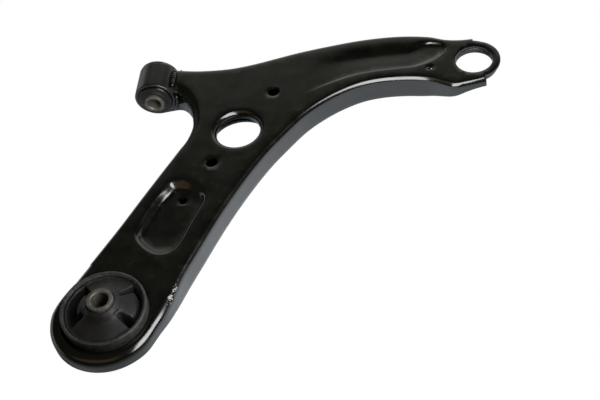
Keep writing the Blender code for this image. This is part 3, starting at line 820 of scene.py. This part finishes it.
class Nodes:
    """A node tree being built, for a material or for the world."""

    def __init__(self, owner):
        owner.use_nodes = True
        self.tree = owner.node_tree
        self.tree.nodes.clear()

    def node(self, kind, **settings):
        made = self.tree.nodes.new(kind)
        for key, value in settings.items():
            setattr(made, key, value)
        return made

    def filled(self, kind, inputs, **settings):
        """A node with inputs set by name or number; None leaves one as it is."""
        made = self.node(kind, **settings)
        for socket, value in inputs.items():
            if isinstance(value, bpy.types.NodeSocket):
                self.tree.links.new(value, made.inputs[socket])
            elif value is not None:
                made.inputs[socket].default_value = value
        return made

    def wired(self, kind, *values, **settings):
        """A node with its first inputs set; gives back its first output."""
        return self.filled(kind, dict(enumerate(values)), **settings).outputs[0]

    def math(self, operation, a, b=0.0, clamp=False):
        return self.wired("ShaderNodeMath", a, b, operation=operation, use_clamp=clamp)

    def times(self, a, b):
        return self.math("MULTIPLY", a, b)

    def plus(self, a, b):
        return self.math("ADD", a, b)

    def split(self, vector):
        """The three parts of a vector."""
        return self.filled("ShaderNodeSeparateXYZ", {0: vector}).outputs

    def remap(self, value, low, high, out_low=0.0, out_high=1.0):
        """Smooth step of a value from one range to another."""
        return self.wired("ShaderNodeMapRange", value, low, high, out_low, out_high,
                          interpolation_type="SMOOTHSTEP")

    def blend(self, share, a, b):
        """Colour a where share is 0 and b where it is 1."""
        a, b = (c if isinstance(c, bpy.types.NodeSocket) else (*c, 1.0) for c in (a, b))
        inputs = {"Factor": share, "A": a, "B": b}
        return self.filled("ShaderNodeMix", inputs, data_type="RGBA").outputs["Result"]

    def camera_sees(self, seen, otherwise):
        """One shader for the camera's own rays, another for all the rest."""
        own_ray = self.node("ShaderNodeLightPath").outputs["Is Camera Ray"]
        return self.wired("ShaderNodeMixShader", own_ray, otherwise, seen)

    def show(self, shader, kind="ShaderNodeOutputMaterial"):
        self.filled(kind, {"Surface": shader})


class Look(Nodes):
    """A piece's material. Its texture coordinates are object millimetres."""

    def __init__(self, name):
        self.mat = bpy.data.materials.new(name)
        super().__init__(self.mat)
        self.mm = self.vector("SCALE", self.node("ShaderNodeTexCoord").outputs["Object"], scale=1.0 / MM)

    def vector(self, operation, a, b=None, scale=None):
        inputs = {0: a, 1: b, "Scale": scale}
        return self.filled("ShaderNodeVectorMath", inputs, operation=operation).outputs[0]

    def noise(self, size, detail=3.0, stretch=(1.0, 1.0, 1.0), shift=0.0):
        """Noise between 0 and 1 with patches about this many millimetres across."""
        where = self.vector("MULTIPLY", self.mm, stretch)
        where = self.vector("ADD", where, (shift, shift * 0.7, shift * 0.3))
        inputs = {"Vector": where, "Scale": 1.0 / size, "Detail": detail}
        return self.filled("ShaderNodeTexNoise", inputs).outputs["Fac"]

    def specks(self, size, radius):
        """1 inside scattered round specks, 0 elsewhere."""
        made = self.filled("ShaderNodeTexVoronoi", {"Vector": self.mm, "Scale": 1.0 / size})
        return self.remap(made.outputs["Distance"], radius * 1.5, radius)

    def patchy_specks(self, size, radius, patch):
        """Specks that come only where the patch noise is high."""
        return self.times(self.specks(size, radius), patch)

    def bump(self, height, depth, under=None):
        """Normal from a height between 0 and 1 that is this many millimetres deep."""
        inputs = {"Strength": 1.0, "Distance": depth * MM, "Height": height, "Normal": under}
        return self.filled("ShaderNodeBump", inputs).outputs["Normal"]

    def surface(self, colour, roughness, normal, ior, metallic=0.0, sheen=0.0):
        inputs = {"Base Color": colour, "Roughness": roughness, "Normal": normal, "IOR": ior,
                  "Metallic": metallic, "Sheen Weight": sheen}
        self.show(self.filled("ShaderNodeBsdfPrincipled", inputs).outputs[0])
        return self.mat


BLACK = (0.0008, 0.0008, 0.0006)
BLACK_THIN = (0.0022, 0.0022, 0.0016)
PRIMER = (0.012, 0.008, 0.005)
BARE = (0.30, 0.30, 0.29)
DUST = (0.020, 0.019, 0.016)
CHIPS_Y = 20.0                  # the outboard edge is chipped beside this place
CHIPS_REACH = 21.0
CHIPS_X = (40.0, 52.0)


def wear(look):
    """Wear of the bends and cut edges, strongest along the outboard edge by the rear bush."""
    x, y, _ = look.split(look.vector("SUBTRACT", look.mm, tuple(DATUM / MM)))
    along = look.math("DIVIDE", look.math("SUBTRACT", y, CHIPS_Y), CHIPS_REACH)
    rubbed = look.math("POWER", 2.718, look.times(look.times(along, along), -1.0))
    rubbed = look.times(rubbed, look.remap(x, *CHIPS_X))
    edges = look.node("ShaderNodeAttribute", attribute_name="worn").outputs["Fac"]
    return look.times(edges, look.plus(look.times(rubbed, 0.95), 0.12))


def coat(name, grime, dull=0.0):
    """Glossy black electrocoat: fine peel, slow waviness, dust, and chips along worn edges."""
    look = Look(name)
    colour = look.blend(look.remap(look.noise(30.0, 5.0), 0.44, 0.66), BLACK, BLACK_THIN)
    dust = look.patchy_specks(5.0, 0.045, look.remap(look.noise(19.0), 0.45, 0.6))
    colour = look.blend(look.times(dust, 0.8), colour, DUST)
    stain = look.remap(look.noise(7.0, 5.0, shift=31.0), 0.60 - grime, 0.74)
    colour = look.blend(look.times(stain, 0.4 + grime), colour, PRIMER)
    level = look.plus(look.noise(1.7, 4.0, shift=43.0), look.times(wear(look), 0.37))
    edge = look.remap(level, 0.86, 0.90)
    chip = look.remap(level, 0.93, 0.97)
    colour = look.blend(edge, colour, PRIMER)
    colour = look.blend(chip, colour, BARE)

    gloss = look.remap(look.noise(11.0, 4.0, shift=5.0), 0.3, 0.7, 0.13, 0.20)
    gloss = look.plus(gloss, look.times(look.noise(1.1, 2.0), 0.03))
    gloss = look.plus(gloss, look.times(edge, 0.25))
    scratch = look.remap(look.noise(1.0, 2.0, (0.03, 1.6, 1.0)), 0.735, 0.76)
    gloss = look.plus(gloss, look.times(scratch, 0.15))
    gloss = look.math("ADD", gloss, dull, True)

    normal = look.bump(look.noise(25.0, 1.0, shift=70.0), 0.14)
    normal = look.bump(look.noise(1.3, 2.0, shift=13.0), 0.0045 + 0.05 * grime, normal)
    normal = look.bump(dust, 0.02, normal)
    normal = look.bump(look.math("SUBTRACT", 1.0, chip), 0.06, normal)
    return look.surface(colour, gloss, normal, 1.6, look.times(chip, 0.6))


def phosphate():
    """Matt grey phosphate on the rear bush's sleeve, mottled, streaked and flecked with brighter specks.
    """
    look = Look("phosphate_grey")
    mottle = look.remap(look.noise(3.2, 5.0), 0.32, 0.70)
    colour = look.blend(mottle, (0.014, 0.014, 0.013), (0.032, 0.032, 0.030))
    streak = look.remap(look.noise(6.0, 4.0, (1.0, 1.0, 0.25), 4.0), 0.5, 0.75)
    colour = look.blend(look.times(streak, 0.5), colour, (0.020, 0.015, 0.011))
    bright = look.patchy_specks(2.1, 0.12, look.remap(look.noise(8.0), 0.5, 0.62))
    colour = look.blend(look.times(bright, 0.6), colour, (0.09, 0.09, 0.085))
    gloss = look.remap(look.noise(2.0, 4.0, shift=8.0), 0.3, 0.7, 0.36, 0.56)
    normal = look.bump(look.noise(0.8, 4.0), 0.02)
    normal = look.bump(look.noise(9.0, 2.0, shift=2.0), 0.06, normal)
    return look.surface(colour, gloss, normal, 1.4)


def rubber():
    """Moulded black rubber: fine grain, flow marks and a faint grey bloom."""
    look = Look("bush_rubber")
    bloom = look.remap(look.noise(12.0, 5.0), 0.40, 0.72)
    colour = look.blend(bloom, (0.0050, 0.0052, 0.0050), (0.0105, 0.0108, 0.0104))
    flecks = look.patchy_specks(3.4, 0.05, look.remap(look.noise(9.0, shift=3.0), 0.48, 0.6))
    colour = look.blend(look.times(flecks, 0.7), colour, (0.04, 0.04, 0.037))
    gloss = look.remap(look.noise(4.0, 4.0, shift=6.0), 0.3, 0.7, 0.42, 0.62)
    normal = look.bump(look.noise(0.55, 3.0), 0.018)
    normal = look.bump(look.noise(5.0, 3.0, (1.0, 1.0, 0.5)), 0.09, normal)
    return look.surface(colour, gloss, normal, 1.3, 0.0, 0.02)


def steel():
    """Turned steel of the inner sleeves: tool grooves, dull tarnish, a few rust freckles."""
    look = Look("turned_steel")
    grooves = look.noise(0.9, 2.0, (0.35, 0.35, 1.8))
    tarnish = look.remap(look.noise(7.0, 5.0), 0.36, 0.68)
    colour = look.blend(tarnish, (0.085, 0.083, 0.072), (0.045, 0.040, 0.031))
    freckle = look.patchy_specks(2.4, 0.10, look.remap(look.noise(6.0, shift=12.0), 0.5, 0.6))
    colour = look.blend(look.times(freckle, 0.7), colour, (0.03, 0.016, 0.008))
    gloss = look.plus(look.remap(tarnish, 0.0, 1.0, 0.36, 0.54), look.times(grooves, 0.06))
    normal = look.bump(grooves, 0.02)
    normal = look.bump(look.noise(1.6, 4.0, shift=1.0), 0.02, normal)
    return look.surface(colour, gloss, normal, 1.45, 0.35)


COAT = coat("electrocoat_black", 0.0)
WELD = coat("electrocoat_on_weld", 0.08, 0.10)
TUBE_COAT = coat("electrocoat_on_tube", 0.02, 0.18)
SLEEVE = phosphate()
RUBBER = rubber()
STEEL = steel()


# ---------------------------------------------------------------- bushes

def subdivided(profile, longest):
    """The profile with its long straight stretches split."""
    out = []
    for a, b in zip(profile, profile[1:] + profile[:1]):
        n = max(1, round(math.dist(a, b) / longest))
        out += [(mix(a[0], b[0], k / n), mix(a[1], b[1], k / n)) for k in range(n)]
    return out


def ring(inner, outer, low, high, radii):
    """Profile of a plain ring: the four corners and how round each of them is."""
    return rounded(((inner, low), (outer, low), (outer, high), (inner, high)), radii)


def eye_ring():
    """Forged ring under the eye's land."""
    profile = ring(EYE_BORE_R, EYE_RING_R, EYE_LOW.z, EYE_HIGH.z, (0.8, 0.9, 0.5, 0.4))
    ob = finish_mesh("eye_ring", turned(profile, 120, (*EYE, 0.0)), COAT)
    stands_for(ob, "ball_joint_eye_ring")


def dent(radius, height, a):
    """A tube's radius, a few hundredths of a millimetre out of round."""
    return radius + 0.07 * noise.noise(Vector((math.cos(a) * 2, math.sin(a) * 2, height * 0.1)))


def front_tube():
    profile = ring(TUBE_R - TUBE_WALL, TUBE_R, -TUBE_HALF, TUBE_HALF, (0.7, 1.1, 1.1, 0.7))
    bm = turned(subdivided(profile, 3.0), 128, FRONT, "Y", dent)
    stands_for(finish_mesh("front_tube", bm, TUBE_COAT), "front_bush_tube")


CAN_R = TUBE_R - TUBE_WALL - GAP
CAN_WALL = 1.6


def front_can():
    """Thin can inside the tube, with a small rolled lip at the far end."""
    inner = CAN_R - CAN_WALL
    end = -TUBE_HALF - 1.0
    lip = TUBE_HALF + GAP
    lip_r = TUBE_R - 0.6
    profile = rounded(((inner, end), (CAN_R, end), (CAN_R, lip), (lip_r, lip), (lip_r, lip + CAN_WALL),
                       (inner, lip + CAN_WALL)), (0.5, 0.7, 0.4, 0.5, 0.6, 0.6))
    ob = finish_mesh("front_can", turned(subdivided(profile, 4.0), 112, FRONT, "Y"), COAT)
    stands_for(ob, "front_bush_can")


def front_rubber():
    """Bonded rubber: a low dome from the core to a lip that covers the can's edge."""
    core = FRONT_CORE_R + 0.05
    rim = CAN_R - CAN_WALL - 0.05
    lip = rim + 1.5
    end = -TUBE_HALF - 1.05
    face = ((core, end - 2.8), (core + 1.6, end - 2.6), (core + 3.4, end - 1.5), (lip - 1.6, end - 1.1),
            (lip, end - 1.0), (lip, end), (rim, end))
    far = ((rim, -end + 1.0), (rim - 1.0, -end + 1.4), (core + 2.6, -end + 1.8), (core, -end + 2.6))
    profile = rounded(face + far, (0.3, 0.8, 2.2, 1.2, 0.9, 0.2, 0.1, 0.4, 0.8, 1.6, 0.3))
    ob = finish_mesh("front_rubber", turned(subdivided(profile, 2.5), 96, FRONT, "Y"), RUBBER, 50.0)
    crossing(ob)
    stands_for(ob, "front_bush_rubber", None)


def crossing(ob):
    """Rubber bonded to a core and to its sleeve: its placement is baked into its mesh."""
    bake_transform(ob)


def core_tube(name, node, body, outer, bore, half, centre, axis):
    """Turned steel sleeve: chamfered bore, rounded outside corners, faint tool marks."""
    profile = rounded(((bore, -half + 1.0), (bore + 1.1, -half), (outer, -half), (outer, half),
                       (bore + 1.1, half), (bore, half - 1.0)), (0.5, 0.25, 0.8, 0.8, 0.25, 0.5))
    ob = finish_mesh(name, turned(subdivided(profile, 3.0), 96, centre, axis), STEEL, 40.0)
    stands_for(ob, node, body)


SLEEVE_BORE_R = SLEEVE_R - 3.0


def rear_sleeve():
    """Pressed-in outer ring: a rolled rim with a lower step inside it."""
    low, high = SLEEVE_LOW.z, SLEEVE_HIGH.z
    profile = rounded(((SLEEVE_BORE_R, low), (SLEEVE_R, low), (SLEEVE_R, high), (SLEEVE_R - 2.1, high),
                       (SLEEVE_R - 2.2, high - 1.1), (SLEEVE_BORE_R, high - 1.3)),
                      (0.6, 0.9, 1.0, 0.5, 0.3, 0.3))
    ob = finish_mesh("rear_sleeve", turned(subdivided(profile, 4.0), 160), SLEEVE)
    stands_for(ob, "rear_bush_sleeve")


def rear_collar():
    profile = ring(SLEEVE_R + GAP, COLLAR_R, COLLAR_LOW.z, COLLAR_HIGH.z, (0.4, 0.7, 0.5, 0.3))
    ob = finish_mesh("rear_collar", turned(subdivided(profile, 4.0), 140), COAT)
    stands_for(ob, "rear_bush_collar")


VOID_OUTER_R = 31.0
VOID_ROOT_R = 16.5
STOP_R = 27.8
INNER_STOP_R = 21.5
VOID_DRAFT = 2.6                # how far the walls lean in to the mould's parting line
VOID_STEP = 0.9
VOID_ANGLES = (-36.4, 49.2)
STOP_ANGLES = (-19.3, 35.4)


def void_outline(mirror):
    """C-shaped slot through the rear rubber, round the bump stop it leaves standing."""
    path = []
    stop = INNER_STOP_R if mirror else STOP_R

    def arc(radius, a, b):
        n = max(2, round(abs(math.radians(b - a)) * radius / VOID_STEP))
        path.extend(polar(radius, mix(a, b, k / n)) for k in range(n + 1))

    def ray(r0, r1, a):
        n = max(2, round(abs(r1 - r0) / VOID_STEP))
        path.extend(polar(mix(r0, r1, k / n), a) for k in range(1, n))

    (start, end), (low, high) = VOID_ANGLES, STOP_ANGLES
    arc(VOID_OUTER_R, start, end)
    ray(VOID_OUTER_R, VOID_ROOT_R, end)
    arc(VOID_ROOT_R, end, high)
    ray(VOID_ROOT_R, stop, high)
    arc(stop, high, low)
    ray(stop, VOID_ROOT_R, low)
    arc(VOID_ROOT_R, low, start)
    ray(VOID_ROOT_R, VOID_OUTER_R, start)
    for _ in range(3):
        path = [path[k] * 0.5 + (path[k - 1] + path[(k + 1) % len(path)]) * 0.25
                for k in range(len(path))]
    return [Vector((-p.x, p.y)) for p in reversed(path)] if mirror else path


ARM_PROFILE = ((10.3, 16), (12.6, 16), (13, 14.8), (14.9, 14.4), (15.6, 11.8), (18.5, 9.2), (22, 7.6),
               (28, 5.2), (31, 4.2), (33, 5.4))
STOP_PROFILE = ((10.3, 16), (12.6, 16), (13, 14.8), (14.9, 14.4), (15.6, 11.4), (17.5, 9.6), (22, 8),
                (27.8, 5.6), (31, 4.2), (33, 5.4))


def rubber_top(p):
    """Height of the rear rubber's top: shoulders round the core, falling to the sleeve."""
    r = math.hypot(p[0], p[1])
    angle = math.degrees(math.atan2(p[1], abs(p[0])))
    stop = smoothstep(STOP_ANGLES[0] - 6.0, STOP_ANGLES[0] + 2.0, angle)
    stop *= 1.0 - smoothstep(STOP_ANGLES[1] - 2.0, STOP_ANGLES[1] + 6.0, angle)
    heights = []
    for profile in (ARM_PROFILE, STOP_PROFILE):
        radii = [q[0] for q in profile]
        level = [q[1] for q in profile]
        heights.append(sum(np.interp(r + d, radii, level) for d in (-0.35, 0.0, 0.35)) / 3.0)
    return mix(heights[0], heights[1], stop)


def rear_rubber():
    """Rubber with two voids and two bump stops, alike above and below."""
    sheet = Sheet(1.0, rubber_top, 1.1, True)
    outer = sheet.loop(circle((0.0, 0.0), SLEEVE_BORE_R - 0.05, 150))
    holes = [sheet.loop(circle((0.0, 0.0), CORE_R + 0.05, 80))]
    holes += [sheet.loop(void_outline(mirror)) for mirror in (False, True)]
    for void in holes[1:]:
        sheet.draft.update((v, VOID_DRAFT) for v in void)
    rings = [[sheet.loop(circle((0.0, 0.0), r, 84))] for r in (12.6, 13.1, 14.9, 15.7)]
    sheet.fill(outer, holes, rings, 1.5)
    bm = sheet.close(lambda p: 2.0 * (p.z - REAR_PIVOT_Z))
    ob = finish_mesh("rear_rubber", bm, RUBBER, 60.0)
    crossing(ob)
    stands_for(ob, "rear_bush_rubber", None)


# ---------------------------------------------------------------- welds

def tube_welds():
    """Fillet beads that join the front tube to both shells."""
    r = 2.2
    rise = 1.1 * r + GAP
    reach = TUBE_R + rise
    x = math.sqrt(reach * reach - (rise - FRONT.z) ** 2)
    y = FRONT.y
    path = ((x, y - 10.5, rise - 1.1), (x - 0.3, y, rise - 1.2), (x, y + 13.0, rise - 1.2))
    bead("weld_tube_top", path, r, 1.0, pitch=3.0, ripple=0.1)
    x = 3.2 - rise
    z = FRONT.z - math.sqrt((reach + 0.2) ** 2 - x * x)
    bead("weld_tube_bottom", ((x, y - 8.5, z), (x, y + 11.5, z)), r, 2.0)
    r = 1.5
    reach = TUBE_R + 1.1 * r + GAP
    for name, y in (("weld_tube_front", 249.9), ("weld_tube_back", 284.0)):
        turn = [polar(reach, mix(-38.0, 12.0, k / 12)) for k in range(13)]
        bead(name, [(p.x, y, FRONT.z + p.y) for p in turn], r * 1.25, y)


def seam_path(line, keep):
    """Groove between the upper flange's lower edge and the lower shell's bend."""
    normals = outward(line, False)
    inset = SHEET + GAP + SEAM_INSET
    return [(*(p - n * inset), 0.7 - flange_depth(p)) for p, n in zip(line, normals) if keep(p)]


def seam_welds():
    """Long fillet beads along the overlap of the two shells."""
    back, front = flange_lines(3.0)
    for name, line, keep, seed in (
            ("weld_seam_outer", front, lambda p: p.y > 40.0 and 0.5 * p.y <= p.x < 250.0, 5.0),
            ("weld_seam_left", front, lambda p: 70.0 < p.y < 180.0 and p.x < 0.5 * p.y, 6.0),
            ("weld_seam_back", back, lambda p: 60.0 < p.x < 250.0, 7.0)):
        bead(name, seam_path(line, keep), 1.7, seed, sides=10)


def ring_welds():
    """Beads round the eye ring and the rear bush collar, both on the underside."""
    path = [(*(Vector(EYE) + polar(23.4, mix(105.0, 285.0, k / 60))), -4.9) for k in range(61)]
    bead("weld_eye_ring", path, 1.6, 8.0)
    path = [polar(0.5 * (COLLAR_R + REAR_CLEAR_R), mix(36.0, 106.0, k / 40)) for k in range(41)]
    bead("weld_rear_collar", [(*p, underside(p) + 1.5) for p in path], 2.1, 9.0)


# ---------------------------------------------------------------- stage

CAMERA_AT = (306.1, -525.8, 768.0)
CAMERA_RIGHT = Vector((0.9878, 0.0760, -0.1363))
CAMERA_UP = Vector((0.0284, 0.7714, 0.6357))
CAMERA_LENS = 71.34
CAMERA_SENSOR = 36.0
FLOOR_HALF = 0.62               # metres
FLOOR_DROP = 0.0005             # metres
FLOOR_TINT = (0.60, 0.65, 0.69, 1.0)


def camera():
    """Camera above and to the right of the arm's near side, rolled a little."""
    data = bpy.data.cameras.new("camera")
    data.lens = CAMERA_LENS
    data.sensor_width = CAMERA_SENSOR
    ob = bpy.data.objects.new("camera", data)
    bpy.context.scene.collection.objects.link(ob)
    back = CAMERA_RIGHT.cross(CAMERA_UP).normalized()
    right = CAMERA_UP.cross(back).normalized()
    turn = Matrix((right, back.cross(right), back)).transposed()
    ob.matrix_world = Matrix.Translation(place(CAMERA_AT)) @ turn.to_4x4()
    bpy.context.scene.camera = ob


def floor():
    """Floor that the camera sees as pure white, lit for the reflections, clear from below."""
    bm = bmesh.new()
    bmesh.ops.create_grid(bm, x_segments=8, y_segments=8, size=FLOOR_HALF)
    mat = bpy.data.materials.new("floor_white")
    look = Nodes(mat)
    top = look.camera_sees(look.wired("ShaderNodeEmission"),
                           look.wired("ShaderNodeBsdfDiffuse", FLOOR_TINT))
    below = look.node("ShaderNodeNewGeometry").outputs["Backfacing"]
    look.show(look.wired("ShaderNodeMixShader", below, top, look.wired("ShaderNodeBsdfTransparent")))
    ob = linked("floor", bm, mat)
    low, high = CAD_BOX
    ob.location = ((low[0] + high[0]) / 2, (low[1] + high[1]) / 2, low[2] - FLOOR_DROP)


SKY = ((0.00, (1.00, 1.00, 1.00)), (0.50, (0.90, 0.91, 0.86)), (0.62, (0.54, 0.55, 0.47)),
       (0.67, (0.29, 0.30, 0.25)), (0.72, (0.097, 0.105, 0.082)), (0.76, (0.055, 0.061, 0.046)),
       (0.82, (0.026, 0.030, 0.023)), (1.0, (0.018, 0.020, 0.018)))
WHITE = (1.0, 1.0, 1.0, 1.0)
GLOOM = (0.046, 0.045, 0.033)
CARD = (0.42, 0.30, 0.17)
TOWARDS_CAMERA = (0.236, -0.972)
TOWARDS_CARD = (-0.42, -0.91)
SOFTBOX_LOW = ((110, -110, 60), (330, 20, 110), (420, 90, 300), (520, 150, 430))
SOFTBOX_HIGH = ((150, 80, 560), (260, 110, 560), (400, 150, 560), (480, 180, 530))
SOFTBOX_STRENGTH = 11.0


def softbox():
    """Leaning panel of light on the arm's near, outboard side, which the camera doesn't see."""
    bm = bmesh.new()
    low, high = ([bm.verts.new(place(p)) for p in row] for row in (SOFTBOX_LOW, SOFTBOX_HIGH))
    stitch(bm, low, high, False)
    mat = bpy.data.materials.new("softbox_light")
    look = Nodes(mat)
    look.show(look.wired("ShaderNodeEmission", WHITE, SOFTBOX_STRENGTH))
    ob = linked("softbox", bm, mat)
    ob.visible_camera = False


def studio():
    """Pale surround beyond the arm, dark above it for the black coat, and gloom behind the camera."""
    world = bpy.data.worlds.new("studio")
    bpy.context.scene.world = world
    look = Nodes(world)
    x, y, z = look.split(look.node("ShaderNodeTexCoord").outputs["Generated"])
    ramp = look.filled("ShaderNodeValToRGB", {0: z})
    stops = ramp.color_ramp.elements
    while len(stops) < len(SKY):
        stops.new(0.5)
    for stop, (where, colour) in zip(stops, SKY):
        stop.position = where
        stop.color = (*colour, 1.0)
    level = look.math("SQRT", look.math("SUBTRACT", 1.0001, look.times(z, z)))

    def facing(way):
        """How far a direction turns towards a way on the floor, from -1 to 1."""
        return look.math("DIVIDE", look.plus(look.times(x, way[0]), look.times(y, way[1])), level)

    near = look.remap(facing(TOWARDS_CAMERA), -0.25, 0.20)
    aside = look.remap(look.math("ABSOLUTE", look.math("DIVIDE", x, level)), 0.30, 0.60)
    aside = look.times(aside, look.remap(z, 0.12, 0.30))
    tone = look.blend(look.math("MAXIMUM", near, aside), ramp.outputs["Color"], GLOOM)
    card = look.times(look.remap(facing(TOWARDS_CARD), 0.62, 0.80), look.remap(z, 0.50, 0.62))
    card = look.times(card, look.remap(z, 0.97, 0.90))
    lit = look.wired("ShaderNodeBackground", look.blend(card, tone, CARD))
    look.show(look.camera_sees(look.wired("ShaderNodeBackground", WHITE), lit), "ShaderNodeOutputWorld")
    bpy.context.scene.view_settings.view_transform = "Standard"


# ---------------------------------------------------------------- build

CUTTER = tube_cutter()
upper_shell(CUTTER)
lower_shell(CUTTER)
bpy.data.objects.remove(CUTTER)
eye_ring()
front_tube()
front_can()
front_rubber()
core_tube("front_core_tube", "front_bush_core", "front_core", FRONT_CORE_R, FRONT_CORE_BORE_R,
          FRONT_CORE_HALF, FRONT, "Y")
rear_sleeve()
rear_collar()
rear_rubber()
core_tube("rear_core_tube", "rear_bush_core", "rear_core", CORE_R, CORE_BORE_R, half(CORE_SPAN, "z"),
          Vector((0, 0, (CORE_SPAN[0].z + CORE_SPAN[1].z) / 2)), "Z")
tube_welds()
seam_welds()
ring_welds()

floor()
softbox()
studio()
camera()
